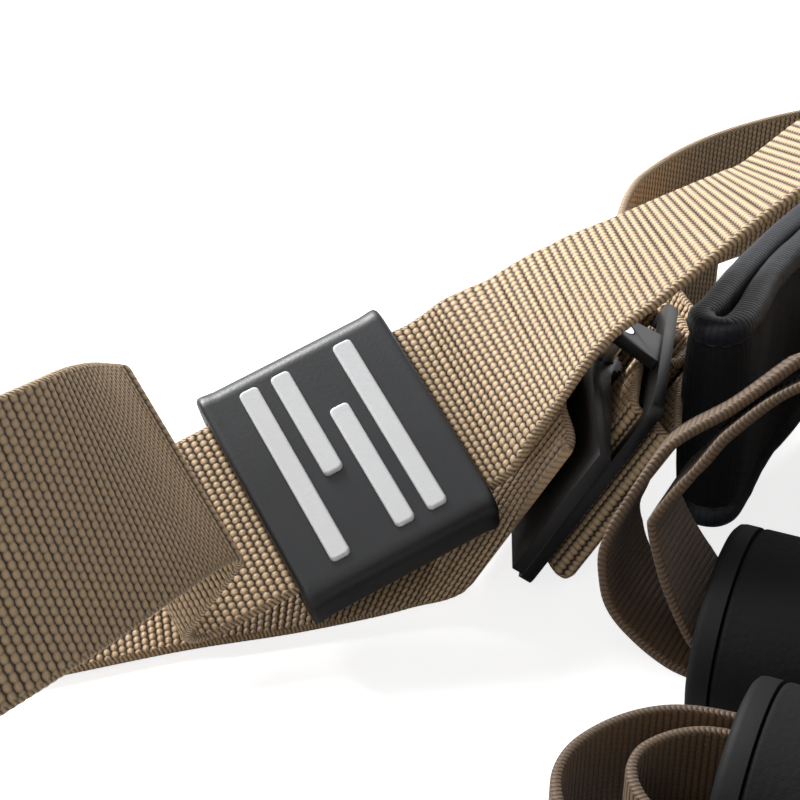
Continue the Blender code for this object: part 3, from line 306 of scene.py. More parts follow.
leftCradleBackShares = (
    (15.5, 9.8, 4.2, 150, -88),
    (17.6, 10.3, 3.8, 120, -88),
    (19.6, 9.8, 3.4, 90, -88),
    (20.9, 8.2, 3.2, 60, -88),
    (21.3, 6.0, 3.2, 30, -88),
    (21.3, 1.0, 3.2, 10, -88),
    (21.5, -5.0, 3.2, 0, -88),
    (21.4, -8.6, 3.05, 20, -88),
    (20.9, -10.1, 2.95, 40, -85),
    (19.9, -10.95, 2.85, 60, -72),
    (18.6, -11.15, 2.4, 65, -38),
)
leftCradleEndShares = (
    (13.1, -1.25, 1.7, 65.1, -8),
    (12.4, -1.25, 1.62, 65.1, 0),
    (0.5, -1.25, 1.62, 65.1, 0),
)
rightHandleShares = (
    (22.4, -2.65, 0.38, 65.1, 0),
    (21.3, -2.65, 0.38, 65.1, 0),
    (17.4, -2.65, 0.38, 65.1, 2),
    (16.2, -2.55, 0.44, 65.1, 25),
    (15.2, -2.45, 0.5, 65.1, 60),
    (14.0, -2.35, 0.52, 65.1, 88),
    (0.3, -2.35, 0.52, 65.1, 88),
    (-0.5, -2.2, 0.53, 65.1, 88),
    (-1.08, -1.6, 0.54, 65.1, 88),
    (-1.08, -0.95, 0.55, 65.1, 88),
    (-0.5, -0.33, 0.56, 65.1, 88),
    (0.3, -0.2, 0.57, 65.1, 88),
    (12.6, -0.2, 0.57, 65.1, 88),
    (15.0, 0.1, 0.57, 65.1, 88),
    (16.8, 0.1, 0.6, 65.1, 85),
    (18.2, -0.6, 0.95, 65.1, 55),
    (19.4, -1.6, 1.05, 65.1, 20),
    (20.5, -2.4, 0.85, 65.1, 3),
    (21.3, -2.65, 0.7, 65.1, 0),
    (22.4, -2.65, 0.68, 65.1, 0),
)
rightCradleBoreShares = (
    (6.0, 0.2, 0.57, 65.1, 88),
    (12.6, 0.2, 0.57, 65.1, 88),
    (14.0, 0.6, 0.58, 65.1, 88),
    (16.5, 1.2, 0.6, 65.1, 88),
    (20.0, 1.32, 0.65, 65.1, 88),
    (23.5, 1.2, 0.8, 65.1, 88),
    (25.8, 0.4, 0.95, 65.1, 88),
    (26.8, -1.4, 1.02, 65.1, 88),
    (26.9, -3.8, 1.05, 65.1, 88),
    (25.8, -5.7, 1.05, 65.1, 88),
    (24.0, -6.4, 1.05, 65.1, 88),
)
rightPadShares = (
    (22.2, -6.5, 1.05, 65.1, 88),
    (13.8, -6.5, 1.05, 65.1, 88),
    (13.1, -6.3, 1.05, 65.1, 88),
    (12.9, -5.75, 1.05, 65.1, 88),
    (13.1, -5.2, 1.05, 65.1, 88),
    (13.8, -5.0, 1.05, 65.1, 88),
    (22.2, -5.0, 1.05, 65.1, 88),
)
rightCradleBackShares = (
    (22.9, -4.9, 1.05, 65.1, 88),
    (23.2, -4.5, 1.0, 65.1, 88),
    (22.8, -4.1, 0.95, 65.1, 88),
    (21.5, -4.0, 0.9, 65.1, 88),
    (10.0, -3.8, 0.6, 65.1, 88),
    (0.6, -3.8, 0.57, 65.1, 88),
    (-1.0, -3.4, 0.57, 65.1, 88),
    (-1.95, -2.3, 0.57, 65.1, 88),
    (-1.95, -1.2, 0.57, 65.1, 88),
    (-1.1, -0.1, 0.57, 65.1, 88),
    (0.2, 0.2, 0.57, 65.1, 88),
    (5.6, 0.2, 0.57, 65.1, 88),
)
equalizerShares = (
    (-11.4, 0.46),
    (-3.2, 0.46),
    (-2.5, 0.32),
    (-1.8, 0.17),
    (-1.1, 0.2),
    (-0.68, 0.55),
    (-0.6, 0.95),
    (-0.85, 1.4),
    (-1.4, 1.63),
    (-3.0, 1.66),
    (-11.4, 1.66),
    (-11.9, 1.5),
    (-12.1, 1.06),
    (-11.9, 0.62),
)

# Buckle places along its length, from the low near end
slotOne = buckle["endBar"] + buckle["slot"] / 2
bridgeStart = buckle["endBar"] + buckle["slot"]
bridgeEnd = bridgeStart + buckle["bridge"]
slotTwo = bridgeEnd + buckle["slot"] / 2
slotThree = bridgeEnd + buckle["slot"] + buckle["middleBar"] + buckle["slot"] / 2
plateLength = slotThree + buckle["slot"] / 2 + buckle["farBar"]
strapStart = buckle["rail"] + buckle["sideClearance"]
up = Vector((0, 0, 1))


def direction(heading, tilt):
    turn = math.radians(heading)
    rise = math.radians(tilt)
    level = math.cos(rise)
    return Vector((level * math.cos(turn), level * math.sin(turn), math.sin(rise)))


def frameAt(place, first, second, third):
    frame = Matrix((first, second, third)).transposed().to_4x4()
    frame.translation = place
    return frame


def route(shares):
    return [(Vector(row[:3]) * layPace, direction(row[3], row[4])) for row in shares]


def upright(place, heading, side, points):
    # A strap whose width stays level, drawn as distances along its heading and heights
    ahead = direction(heading, 0)
    rib = direction(heading + side, 0)
    return [(place + ahead * along + up * height, rib) for along, height in points]


def arc(centre, radius, start, end, rings):
    steps = [start + (end - start) * i / rings for i in range(rings + 1)]
    turns = [math.radians(step) for step in steps]
    return [(centre[0] + radius * math.cos(t), centre[1] + radius * math.sin(t)) for t in turns]


def hank(start, length, runs, height, pitch):
    # Runs folded to and fro on top of each other, from the bottom run at start
    points = [(start, height)]
    for run in range(runs):
        away = run % 2 == 0
        end = start + length if away else start
        level = height + pitch * run
        if run == runs - 1:
            points.append((end, level))
            continue
        middle = (end, level + pitch / 2)
        if away:
            points += arc(middle, pitch / 2, -90, 90, bendRings)
        else:
            points += arc(middle, pitch / 2, -90, -270, bendRings)
    return points


def roll(length, radius, turns, pitch, height):
    # A flat roll from its outer end at the bottom right to its inner end
    middle = height + radius
    points = [(length, height)]
    for turn in range(turns):
        outer = radius - pitch * turn
        inner = outer - pitch
        points += arc((0, middle), outer, 270, 90, bendRings + 3)
        centre = (length, middle + (outer - inner) / 2)
        points += arc(centre, (outer + inner) / 2, 90, -90, bendRings + 3)
    points.append((length * 0.4, middle - radius + pitch * turns))
    return points


def eye(ahead, floor, height, sewn):
    # The sewn loop at the end of a strap, seen from the side: in over the top, back underneath
    top = floor + webbingThickness + webbingGap
    shares = ((-0.3, 0.0), (0.0, 0.02), (0.28, 0.55), (0.6, 0.95), (0.85, 0.9))
    over = [(ahead * along, top + (height - top) * rise) for along, rise in shares]
    nose = [(ahead, (floor + height) / 2), (ahead * 0.88, floor + (height - floor) * 0.08)]
    under = [(ahead * 0.7, floor), (0, floor), (-sewn, floor)]
    return over + nose + under


def curvePoint(before, here, there, after, t):
    # Tangents are scaled by the length of this step, so that uneven stations stay smooth
    step = (there - here).length
    leave = (there - before).normalized() * step
    arrive = (after - here).normalized() * step
    t2 = t * t
    t3 = t2 * t
    return (
        here * (2 * t3 - 3 * t2 + 1)
        + leave * (t3 - 2 * t2 + t)
        + there * (3 * t2 - 2 * t3)
        + arrive * (t3 - t2)
    )


def edgeNormals(stations, width, closed):
    count = len(stations)
    normals = []
    for i, (_, rib) in enumerate(stations):
        before = i - 1 if i or closed else 0
        after = (i + 1) % count if i < count - 1 or closed else i
        pair = []
        for reach in (0, width):
            behind = stations[before][0] + stations[before][1] * reach
            ahead = stations[after][0] + stations[after][1] * reach
            pair.append((ahead - behind).cross(rib).normalized())
        normals.append(pair)
    return normals


def overBuckle(frame, edge, rib, shares):
    # In over the lever and ears, round the far bar and up through the last slot
    lift = buckle["axleHeight"] + buckle["earRadius"] + webbingThickness / 2 + webbingGap
    barMiddle = plateLength - buckle["farBar"] / 2
    wrap = buckle["farBar"] / 2 + webbingThickness / 2 + webbingGap
    turns = (
        (barMiddle - wrap * 0.5, buckle["axleHeight"]),
        (barMiddle + wrap * 0.8, wrap * 1.2),
        (barMiddle + wrap * 1.1, 0),
        (barMiddle + wrap * 0.75, -wrap * 0.75),
        (barMiddle, -wrap * 1.05),
        (barMiddle - wrap * 0.8, -wrap * 0.7),
        (slotThree - buckle["slot"] * 0.05, buckle["plateThickness"] * 0.2),
        (slotThree - buckle["slot"] * 0.1, buckle["plateThickness"] * 1.1),
    )
    spots = [
        (edge + shift * layPace, along * layPace, lift + rise * layPace)
        for shift, along, rise in shares
    ]
    spots += [(edge, along, above) for along, above in turns]
    return [(frame @ Vector(spot), rib) for spot in spots]


def throughBuckle(frame, edge, rib):
    # Up through the first slot, over the bridge under the cam and down through the second
    over = buckle["plateThickness"] / 2 + webbingThickness / 2 + webbingGap
    turns = (
        (slotOne, 0),
        (slotOne + buckle["slot"] * 0.3, over * 0.8),
        (bridgeStart + buckle["slot"] * 0.6, over),
        (bridgeEnd - buckle["slot"] * 0.6, over),
        (slotTwo - buckle["slot"] * 0.3, over * 0.8),
        (slotTwo, 0),
        (slotTwo + buckle["slot"] * 0.15, -over * 0.75),
    )
    return [(frame @ Vector((edge, along, above)), rib) for along, above in turns]


def beside(frame, shares):
    # A route along a grip: distances along it, behind it and above the floor
    floorFrame = frame.copy()
    floorFrame.translation.z = 0
    found = []
    for along, behind, above, heading, tilt in shares:
        place = floorFrame @ (Vector((along, behind, above)) * layPace)
        found.append((place, direction(heading, tilt)))
    return found


def keeperFrame():
    ahead = direction(keeper["heading"], 0)
    aside = direction(keeper["heading"] - 90, 0)
    rise = math.radians(keeper["rise"])
    along = (ahead * math.cos(rise) + up * math.sin(rise)).normalized()
    level = aside.cross(along)
    lean = math.radians(keeper["lean"])
    across = (aside * math.cos(lean) - level * math.sin(lean)).normalized()
    above = across.cross(along)
    return frameAt(Vector(keeper["placeShare"]) * layPace, across, along, above)


folds = {
    "upperEye": (0.034, 0.013, 0.020), "upperHankShare": -23.0, "upperHankLength": 0.086,
    "upperHankRuns": 5, "nearEye": (0.028, 0.015, 0.012), "nearEyeShare": 7.1,
    "farEye": (0.034, 0.0185, 0.012), "farEyeShare": 23.0, "anchorHankShare": 9.4,
    "anchorHankLength": 0.098, "anchorHankRuns": 7, "anchorRiseShares": ((21.0, 1.6),),
    "rollLength": 0.045, "rollRadius": 0.023, "rollTurns": 4, "rollPitch": 0.0031,
}
floorHeight = (webbingThickness + webbingGap) / 2


def upperStrapStations(keeperPlace, visible, hidden):
    start = folds["upperHankShare"] * layPace
    length = folds["upperHankLength"]
    long, high, seam = folds["upperEye"]
    anchorEye = eye(long, floorHeight, high, seam)
    anchorEye.reverse()
    folded = hank(start, length, folds["upperHankRuns"], floorHeight, hankPitch)
    place = Vector(leftEyeShare) * layPace
    kept = upright(place, 180, -90, anchorEye) + upright(Vector((0, place.y, 0)), 0, 90, folded)
    kept += route(risingShares)
    for along, above, heading, tilt in foldShares:
        spot = Vector((webbingWidth / 2, along * layPace, above * layPace))
        kept.append((keeperPlace @ spot, direction(heading, tilt)))
    for along in (-0.52, 0, 0.52):
        spot = Vector((webbingWidth / 2, along * keeper["length"], floorHeight))
        kept.append((keeperPlace @ spot, -keeperPlace.col[0].to_3d()))
    kept += route(archShares)
    farEdge = strapStart + webbingWidth
    kept += overBuckle(hidden, farEdge, -hidden.col[0].to_3d(), ((0, 0.2, 0), (0, 2.4, 0.05)))

    place = Vector(rightEyeShare) * layPace
    folded = hank(0, length, folds["upperHankRuns"], floorHeight, hankPitch)
    folded.reverse()
    low = upright(place, 180, -90, anchorEye)
    low += upright(Vector((start + length, place.y, 0)), 180, -90, folded)
    low += route(floorShares)
    overShares = ((-0.85, -0.4, -0.435), (-0.75, 0.8, -0.08), (-0.55, 2.4, 0.06), (-0.15, 3.3, -0.22))
    low += overBuckle(visible, strapStart, visible.col[0].to_3d(), overShares)
    return {"left_upper_strap": kept, "right_upper_strap": low}


def adjustingStrapStations(visible, hidden, leftGrip, rightGrip):
    rib = visible.col[0].to_3d()
    right = route(reversed(rightTailShares))
    for along, across, above in reversed(outerLegShares):
        right.append((visible @ (Vector((across, along, above)) * layPace), rib))
    right += throughBuckle(visible, strapStart, rib)
    for along, across, above in innerLegShares:
        right.append((visible @ (Vector((across, along, above)) * layPace), rib))
    right += route(rightRoundShares) + beside(rightGrip, rightEndShares)

    edge = strapStart + webbingWidth
    way = buckle["hiddenHeading"]
    corner = hidden @ Vector((edge, 0, 0))
    corner.z = 0
    back = roll(
        folds["rollLength"], folds["rollRadius"], folds["rollTurns"], folds["rollPitch"], floorHeight
    )
    back.reverse()
    left = upright(corner - direction(way, 0) * (rollDistanceShare * layPace), way, 90, back)
    lifted = (
        (-2.4, 0.0), (-1.2, 0.15), (-0.4, 0.4), (0.15, 0.455), (0.35, 0.47), (0.47, 0.53), (0.53, 0.65),
    )
    left += upright(corner, way, 90, [(a * layPace, floorHeight + b * layPace) for a, b in lifted])
    left += throughBuckle(hidden, edge, -hidden.col[0].to_3d())
    leaving = ((3.05, 0.38), (3.45, 0.16), (3.9, 0.08), (4.8, 0.05), (6.0, 0.0))
    left += upright(corner, way, 90, [(a * layPace, floorHeight + b * layPace) for a, b in leaving])
    left += route(leftRoundShares) + beside(leftGrip, leftEndShares)
    return {"left_adjusting_strap": left, "right_adjusting_strap": right}


def handleStations(leftGrip, rightGrip):
    leftHandle = beside(leftGrip, leftHandleEndShares) + list(reversed(route(leftHandleRiseShares)))
    leftHandle += beside(leftGrip, leftHandleShares)
    leftCradle = beside(leftGrip, leftCradleBoreShares) + route(leftCradleRiseShares)
    leftPad = route(leftPadShares)
    leftCradle += leftPad + route(leftCradleBackShares) + beside(leftGrip, leftCradleEndShares)
    rightPad = beside(rightGrip, rightPadShares)
    rightCradle = beside(rightGrip, rightCradleBoreShares) + rightPad
    rightCradle += beside(rightGrip, rightCradleBackShares)
    straps = {
        "left_handle_strap": leftHandle,
        "right_handle_strap": beside(rightGrip, rightHandleShares),
        "left_cradle_strap": leftCradle,
        "right_cradle_strap": rightCradle,
    }
    return straps, {"left_padded_sleeve": leftPad, "right_padded_sleeve": rightPad}


def anchorStations():
    near = Vector((leftEyeShare[0] - loopAsideShare, 0, 0)) * layPace
    loop = [(a * layPace, b * layPace) for a, b in equalizerShares]
    ring = upright(near, 90, 90, loop + loop[:1])
    edge = near.x - equalizerWidth / 2 - handleWebbingWidth / 2
    nearEye = eye(folds["nearEye"][0], floorHeight, *folds["nearEye"][1:])
    nearEye.reverse()
    strap = upright(Vector((edge, folds["nearEyeShare"] * layPace, 0)), -90, 90, nearEye)
    start = folds["anchorHankShare"] * layPace
    folded = hank(start, folds["anchorHankLength"], folds["anchorHankRuns"], floorHeight, hankPitch)
    folded += [(along * layPace, above * layPace) for along, above in folds["anchorRiseShares"]]
    strap += upright(Vector((edge, 0, 0)), 90, -90, folded)
    farEye = eye(folds["farEye"][0], floorHeight, *folds["farEye"][1:])
    strap += upright(Vector((edge, folds["farEyeShare"] * layPace, 0)), 90, -90, farEye)
    return ring, strap


# Materials


def linear(hexColour):
    channels = [int(hexColour[i : i + 2], 16) / 255 for i in (1, 3, 5)]
    return tuple(c / 12.92 if c <= 0.04045 else ((c + 0.055) / 1.055) ** 2.4 for c in channels) + (1,)


def addNode(tree, kind, inputs=None, **settings):
    # Each input is given a number, a colour or the socket that feeds it
    node = tree.nodes.new(kind)
    for name, value in settings.items():
        setattr(node, name, value)
    for socket, value in (inputs or {}).items():
        if isinstance(value, bpy.types.NodeSocket):
            tree.links.new(value, node.inputs[socket])
        else:
            node.inputs[socket].default_value = value
    return node


def mathOf(tree, operation, *inputs):
    # One step of arithmetic on numbers and sockets
    return addNode(tree, "ShaderNodeMath", dict(enumerate(inputs)), operation=operation).outputs[0]


def noiseAt(tree, scale, detail):
    place = addNode(tree, "ShaderNodeTexCoord").outputs["Object"]
    inputs = {"Vector": place, "Scale": scale, "Detail": detail}
    return addNode(tree, "ShaderNodeTexNoise", inputs).outputs["Fac"]


def ranged(tree, value, **ends):
    inputs = {name.replace("_", " "): end for name, end in ends.items()}
    return addNode(tree, "ShaderNodeMapRange", {"Value": value, **inputs}).outputs[0]


def scaled(tree, vector, factor):
    return addNode(
        tree, "ShaderNodeVectorMath", {0: vector, "Scale": factor}, operation="SCALE"
    ).outputs[0]


def newMaterial(name, hexColour, roughness, metallic=0.0, sheen=0.0, gloss=0.5):
    made = bpy.data.materials.new(name)
    made.use_nodes = True
    shader = made.node_tree.nodes["Principled BSDF"]
    shader.inputs["Base Color"].default_value = linear(hexColour)
    shader.inputs["Roughness"].default_value = roughness
    shader.inputs["Metallic"].default_value = metallic
    shader.inputs["Sheen Weight"].default_value = sheen
    shader.inputs["Specular IOR Level"].default_value = gloss
    return made, made.node_tree, shader


def finishMaterial(tree, shader, colour, height, strength, depth):
    bump = addNode(
        tree, "ShaderNodeBump", {"Strength": strength, "Distance": depth, "Height": height}
    )
    tree.links.new(colour, shader.inputs["Base Color"])
    tree.links.new(bump.outputs[0], shader.inputs["Normal"])


def wovenMaterial(name, threadHex, paintedGapShadeHex, weave, roughness, sheen, gloss=0.5):
    # The yarns stand up as grains with painted shade in the gaps between them: pitch runs along the strap,
    # grain across it
    made, tree, shader = newMaterial(name, threadHex, roughness, sheen=sheen, gloss=gloss)
    place = addNode(tree, "ShaderNodeUVMap", uv_map="clothPlace")
    parts = addNode(tree, "ShaderNodeSeparateXYZ", {0: place.outputs[0]})
    row = mathOf(tree, "DIVIDE", parts.outputs[0], weave["pitch"])
    column = mathOf(tree, "DIVIDE", parts.outputs[1], weave["grain"])
    slanted = mathOf(tree, "MULTIPLY_ADD", mathOf(tree, "FLOOR", row), weave["stagger"], column)
    # Each yarn is a dome: the root of one less the squares of the distances from its middle
    fall = 1.0
    for source, narrow in ((row, weave["ribRound"]), (slanted, weave["grainRound"])):
        aside = mathOf(tree, "SUBTRACT", mathOf(tree, "FRACT", source), 0.5)
        fall = mathOf(tree, "MULTIPLY_ADD", mathOf(tree, "MULTIPLY", aside, aside), -4 * narrow, fall)
    grains = mathOf(tree, "SQRT", mathOf(tree, "MAXIMUM", fall, 0.0))
    # The selvedge is a finer cord, its turns slanted
    edge = addNode(tree, "ShaderNodeAttribute", attribute_name="selvedge")
    cordRow = mathOf(tree, "DIVIDE", parts.outputs[0], weave["cordPitch"])
    cordLean = mathOf(tree, "MULTIPLY_ADD", parts.outputs[1], cordSlant, cordRow)
    cordWave = mathOf(tree, "SINE", mathOf(tree, "MULTIPLY", cordLean, math.pi))
    cord = ranged(tree, mathOf(tree, "ABSOLUTE", cordWave), To_Min=0.35, To_Max=0.85)
    both = addNode(
        tree, "ShaderNodeMix", {"Factor": edge.outputs["Fac"], "A": grains, "B": cord},
        data_type="FLOAT",
    ).outputs[0]
    fibre = noiseAt(tree, weave["fibreScale"], 4.0)
    tone = mathOf(tree, "MULTIPLY_ADD", fibre, 0.32, both)
    # Low places, between the yarns and between the cord's turns, take the gap colour as painted shade; the
    # tops take the thread colour
    shade = ranged(tree, tone, From_Min=0.4, From_Max=1.1)
    blend = addNode(
        tree, "ShaderNodeMix", {"Factor": shade, "A": linear(paintedGapShadeHex), "B": linear(threadHex)},
        data_type="RGBA",
    )
    mottle = ranged(tree, noiseAt(tree, 35.0, 2.0), To_Min=0.88, To_Max=1.1)
    colour = scaled(tree, blend.outputs["Result"], mottle)
    relief = mathOf(tree, "MULTIPLY_ADD", fibre, 0.25, both)
    finishMaterial(tree, shader, colour, relief, weave["strength"], weave["depth"])
    return made


def grainyMaterial(
    name, hexColour, roughness, grainScale, depth, metallic=0.0, gloss=0.5, contrast=0.25
):
    # Fine pebble grain with a little cloudy change of tone and gloss
    made, tree, shader = newMaterial(name, hexColour, roughness, metallic, gloss=gloss)
    grain = noiseAt(tree, grainScale, 5.0)
    cloud = noiseAt(tree, 60.0, 3.0)
    change = ranged(tree, cloud, To_Min=1 - contrast, To_Max=1 + contrast)
    satin = ranged(tree, cloud, To_Min=roughness - 0.08, To_Max=roughness + 0.08)
    tree.links.new(satin, shader.inputs["Roughness"])
    colour = scaled(tree, linear(hexColour)[:3], change)
    finishMaterial(tree, shader, colour, grain, 0.6, depth)
    return made


# Turns of the selvedge's cord in a metre across the strap, which slants them
cordSlant = 900.0
armWeave = {
    "pitch": 0.00156, "grain": 0.00136, "stagger": 0.5, "ribRound": 0.96, "grainRound": 0.54,
    "fibreScale": 2600.0, "depth": 0.0005, "strength": 1.0, "cordPitch": 0.0009,
}
handleWeave = {
    "pitch": 0.00112, "grain": 0.0009, "stagger": 0.5, "ribRound": 0.9, "grainRound": 0.25,
    "fibreScale": 3000.0, "depth": 0.0003, "strength": 0.9, "cordPitch": 0.0008,
}
darkWeave = {
    "pitch": 0.0013, "grain": 0.0013, "stagger": 0.5, "ribRound": 0.7, "grainRound": 0.7,
    "fibreScale": 3000.0, "depth": 0.0003, "strength": 0.7, "cordPitch": 0.0009,
}
padWeave = {
    "pitch": 0.0009, "grain": 0.0024, "stagger": 0.22, "ribRound": 0.7, "grainRound": 0.6,
    "fibreScale": 3200.0, "depth": 0.00018, "strength": 0.6, "cordPitch": 0.0009,
}
# Polyester basket webbing, woven on a narrow loom: rows of rounded cream grains, with painted shade in the
# gaps
polyesterWebbing = wovenMaterial("polyesterBasketWebbing", "#E3C39A", "#2E1B0B", armWeave, 0.55, 0.1)
# Nylon herringbone webbing: flatter and browner, its yarns in staggered rows, with painted shade in the
# gaps
nylonWebbing = wovenMaterial("nylonHerringboneWebbing", "#6C5236", "#1A1108", handleWeave, 0.62, 0.15)
# Black nylon webbing of the anchor, the equalizer loop and the sewn covers: nearly no colour, with painted
# shade in the gaps
blackWebbing = wovenMaterial("blackNylonWebbing", "#202124", "#08080A", darkWeave, 0.65, 0.2)
# Brushed nylon over foam: deep black with a faint herringbone, with painted shade in the gaps
padCloth = wovenMaterial("brushedNylonPadCloth", "#0A0B0F", "#030304", padWeave, 0.75, 0.04, gloss=0.2)
# Bound edge of the pads: a blue-grey tape, its colour lighter than the pad cloth as a painted highlight
# along the rims
bindingTapeWithHighlight = wovenMaterial("bindingTapeWithHighlight", "#1A1F29", "#090B0F", padWeave, 0.55, 0.05, gloss=0.35)
# Moulded natural rubber: satin charcoal with a fine pebble
mouldedRubber = grainyMaterial("mouldedRubber", "#0D0F13", 0.42, 1400.0, 0.00006)
# White rubber laid in the mould: matt and almost white
whiteRubber = grainyMaterial("whiteMouldedRubber", "#EEF0F2", 0.6, 1400.0, 0.00005, contrast=0.04)
# Closed-cell EVA foam: matt black, pocked by tiny cells
evaFoam = grainyMaterial("evaFoam", "#0B0B0D", 0.85, 1100.0, 0.00025, gloss=0.25, contrast=0.3)
# Black rubber of the grips' end caps and cores: as dark as the foam, a little smoother
capRubber = grainyMaterial("blackCapRubber", "#0C0C0E", 0.7, 1300.0, 0.00006, gloss=0.25)
# Powder-coated steel: black with an orange-peel skin
powderCoat = grainyMaterial("powderCoatedSteel", "#08080A", 0.45, 900.0, 0.00005, gloss=0.35)
# Brushed steel: bright grey, softly scratched
brushedSteel = grainyMaterial("brushedSteel", "#A9ABAD", 0.32, 2200.0, 0.00002, metallic=1.0, contrast=0.08)
# Bonded polyester thread of the seams
seamThread = grainyMaterial("polyesterThread", "#C9B48F", 0.6, 2500.0, 0.00005, contrast=0.1)
blackThread = grainyMaterial("blackPolyesterThread", "#2A2B2E", 0.6, 2500.0, 0.00005, contrast=0.1)
print("materials made")


# Routes, brought from the layout to the frame


visibleAlong = direction(buckle["visibleHeading"], 0)
visibleAcross = direction(buckle["visibleHeading"] - 90, buckle["visibleTilt"])
visibleBuckle = frameAt(
    Vector(buckle["visibleShare"]) * layPace, visibleAcross, visibleAlong, visibleAcross.cross(visibleAlong)
)
hiddenAlong = direction(buckle["hiddenHeading"], 0)
hiddenBuckle = frameAt(Vector(buckle["hiddenShare"]) * layPace, hiddenAlong.cross(up), hiddenAlong, up)
gripWay = direction(grip["heading"], 0)
leftGrip, rightGrip = (
    frameAt(Vector(grip[key]) * layPace, gripWay, direction(grip["heading"] + 90, 0), up)
    for key in ("leftShare", "rightShare")
)
low, high = (Vector(corner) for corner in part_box("left_grip_cover"))
layShift = (low + high) / 2 - leftGrip @ Vector((grip["capLength"] + grip["length"] / 2, 0, 0))


def sampled(stations, spacing, closeSpacing=None, inView=None):
    # Rings on the CAD's own curve, closer where it turns and where the weave is seen
    last = len(stations) - 1
    found = []
    for i in range(last):
        before, here, there = stations[max(i - 1, 0)], stations[i], stations[i + 1]
        after = stations[min(i + 2, last)]
        bend = math.degrees((there[0] - before[0]).angle(after[0] - here[0]))
        bend += math.degrees(here[1].angle(there[1]))
        middle = (here[0] + there[0]) / 2
        near = inView is not None and inView(middle)
        step = closeSpacing if near else spacing
        rings = max(1, round(bend / turnPerRing), round((there[0] - here[0]).length / step))
        for k in range(rings):
            t = k / rings
            place = curvePoint(before[0], here[0], there[0], after[0], t)
            rib = curvePoint(before[1], here[1], there[1], after[1], t).normalized()
            found.append((place, rib, near))
    found.append((*stations[-1], found[-1][2]))
    return found


def lengthsAlong(rings, width):
    total = 0.0
    found = [0.0]
    for (place, rib, _), (nextPlace, nextRib, _) in zip(rings, rings[1:]):
        total += ((nextPlace + nextRib * width / 2) - (place + rib * width / 2)).length
        found.append(total)
    return found


def ringFaces(size, here, there):
    # The faces between two rings of points
    return [
        (here + i, here + (i + 1) % size, there + (i + 1) % size, there + i) for i in range(size)
    ]


def clothBetween(across, begin, end):
    # The places on the cloth of the faces between two rings
    pairs = zip(across, across[1:] + across[:1])
    return [((begin, a), (begin, b), (end, b), (end, a)) for a, b in pairs]


def bothFaces(half):
    # A section from its first half: mirrored across the strap, then on its under face
    top = list(half) + [(1 - share, rise) for share, rise in half[-2::-1]]
    return [(*spot, 1) for spot in top] + [(*spot, -1) for spot in top[-2:0:-1]]


def linked(name, data):
    thing = bpy.data.objects.new(name, data)
    bpy.context.scene.collection.objects.link(thing)
    return thing


def meshObject(name, points, faces, materials, uvs=None, attributes=None, slots=None):
    mesh = bpy.data.meshes.new(name)
    mesh.from_pydata([tuple(point + layShift) for point in points], [], faces)
    for material in materials:
        mesh.materials.append(material)
    if uvs:
        layer = mesh.uv_layers.new(name="clothPlace")
        flat = [value for face in uvs for corner in face for value in corner]
        layer.data.foreach_set("uv", flat)
    for key, values in (attributes or {}).items():
        kind = "FLOAT" if isinstance(values[0], float) else "FLOAT_VECTOR"
        made = mesh.attributes.new(key, kind, "POINT")
        if kind == "FLOAT":
            made.data.foreach_set("value", values)
        else:
            made.data.foreach_set("vector", [part for value in values for part in value])
    if slots:
        mesh.polygons.foreach_set("material_index", slots)
    mesh.polygons.foreach_set("use_smooth", [True] * len(mesh.polygons))
    return linked(name, mesh)


def turnOutwards(thing):
    shape = bmesh.new()
    shape.from_mesh(thing.data)
    bmesh.ops.recalc_face_normals(shape, faces=shape.faces)
    shape.to_mesh(thing.data)
    shape.free()


def openTree(name, sizes, material):
    # A node group with a geometry, these sizes and a material as its inputs
    tree = bpy.data.node_groups.new(name, "GeometryNodeTree")
    sockets = {}
    tree.interface.new_socket("Geometry", in_out="INPUT", socket_type="NodeSocketGeometry")
    for size, value in sizes:
        made = tree.interface.new_socket(size, in_out="INPUT", socket_type="NodeSocketFloat")
        made.default_value = value
        sockets[size] = made.identifier
    cloth = tree.interface.new_socket(material, in_out="INPUT", socket_type="NodeSocketMaterial")
    sockets[material] = cloth.identifier
    tree.interface.new_socket("Geometry", in_out="OUTPUT", socket_type="NodeSocketGeometry")
    return tree, sockets, addNode(tree, "NodeGroupInput").outputs


def closeTree(tree, geometry, material):
    real = addNode(tree, "GeometryNodeRealizeInstances", {0: geometry})
    dressed = addNode(
        tree, "GeometryNodeSetMaterial", {"Geometry": real.outputs[0], "Material": material}
    )
    addNode(tree, "NodeGroupOutput", {0: dressed.outputs[0]})


def reliefTree():
    # Moves each point along its own way by the height of the rib there
    sizes = (("Rib Pitch", 0.00175), ("Rib Height", 0.0003))
    tree, sockets, start = openTree("ribRelief", sizes, "Cloth")
    along = addNode(tree, "GeometryNodeInputNamedAttribute", {"Name": "along"}, data_type="FLOAT")
    way = addNode(
        tree, "GeometryNodeInputNamedAttribute", {"Name": "reliefWay"}, data_type="FLOAT_VECTOR"
    )
    row = mathOf(tree, "DIVIDE", along.outputs[0], start["Rib Pitch"])
    wave = mathOf(tree, "SINE", mathOf(tree, "MULTIPLY", row, math.pi))
    fall = mathOf(tree, "SUBTRACT", mathOf(tree, "ABSOLUTE", wave), ribMiddle)
    reach = mathOf(tree, "MULTIPLY", fall, start["Rib Height"])
    shifted = addNode(
        tree, "GeometryNodeSetPosition",
        {"Geometry": start["Geometry"], "Offset": scaled(tree, way.outputs[0], reach)},
    )
    closeTree(tree, shifted.outputs[0], start["Cloth"])
    return tree, sockets


def applied(thing):
    # The evaluated shape takes the place of the mesh and its modifiers
    graph = bpy.context.evaluated_depsgraph_get()
    mesh = bpy.data.meshes.new_from_object(thing.evaluated_get(graph))
    thing.modifiers.clear()
    thing.data = mesh


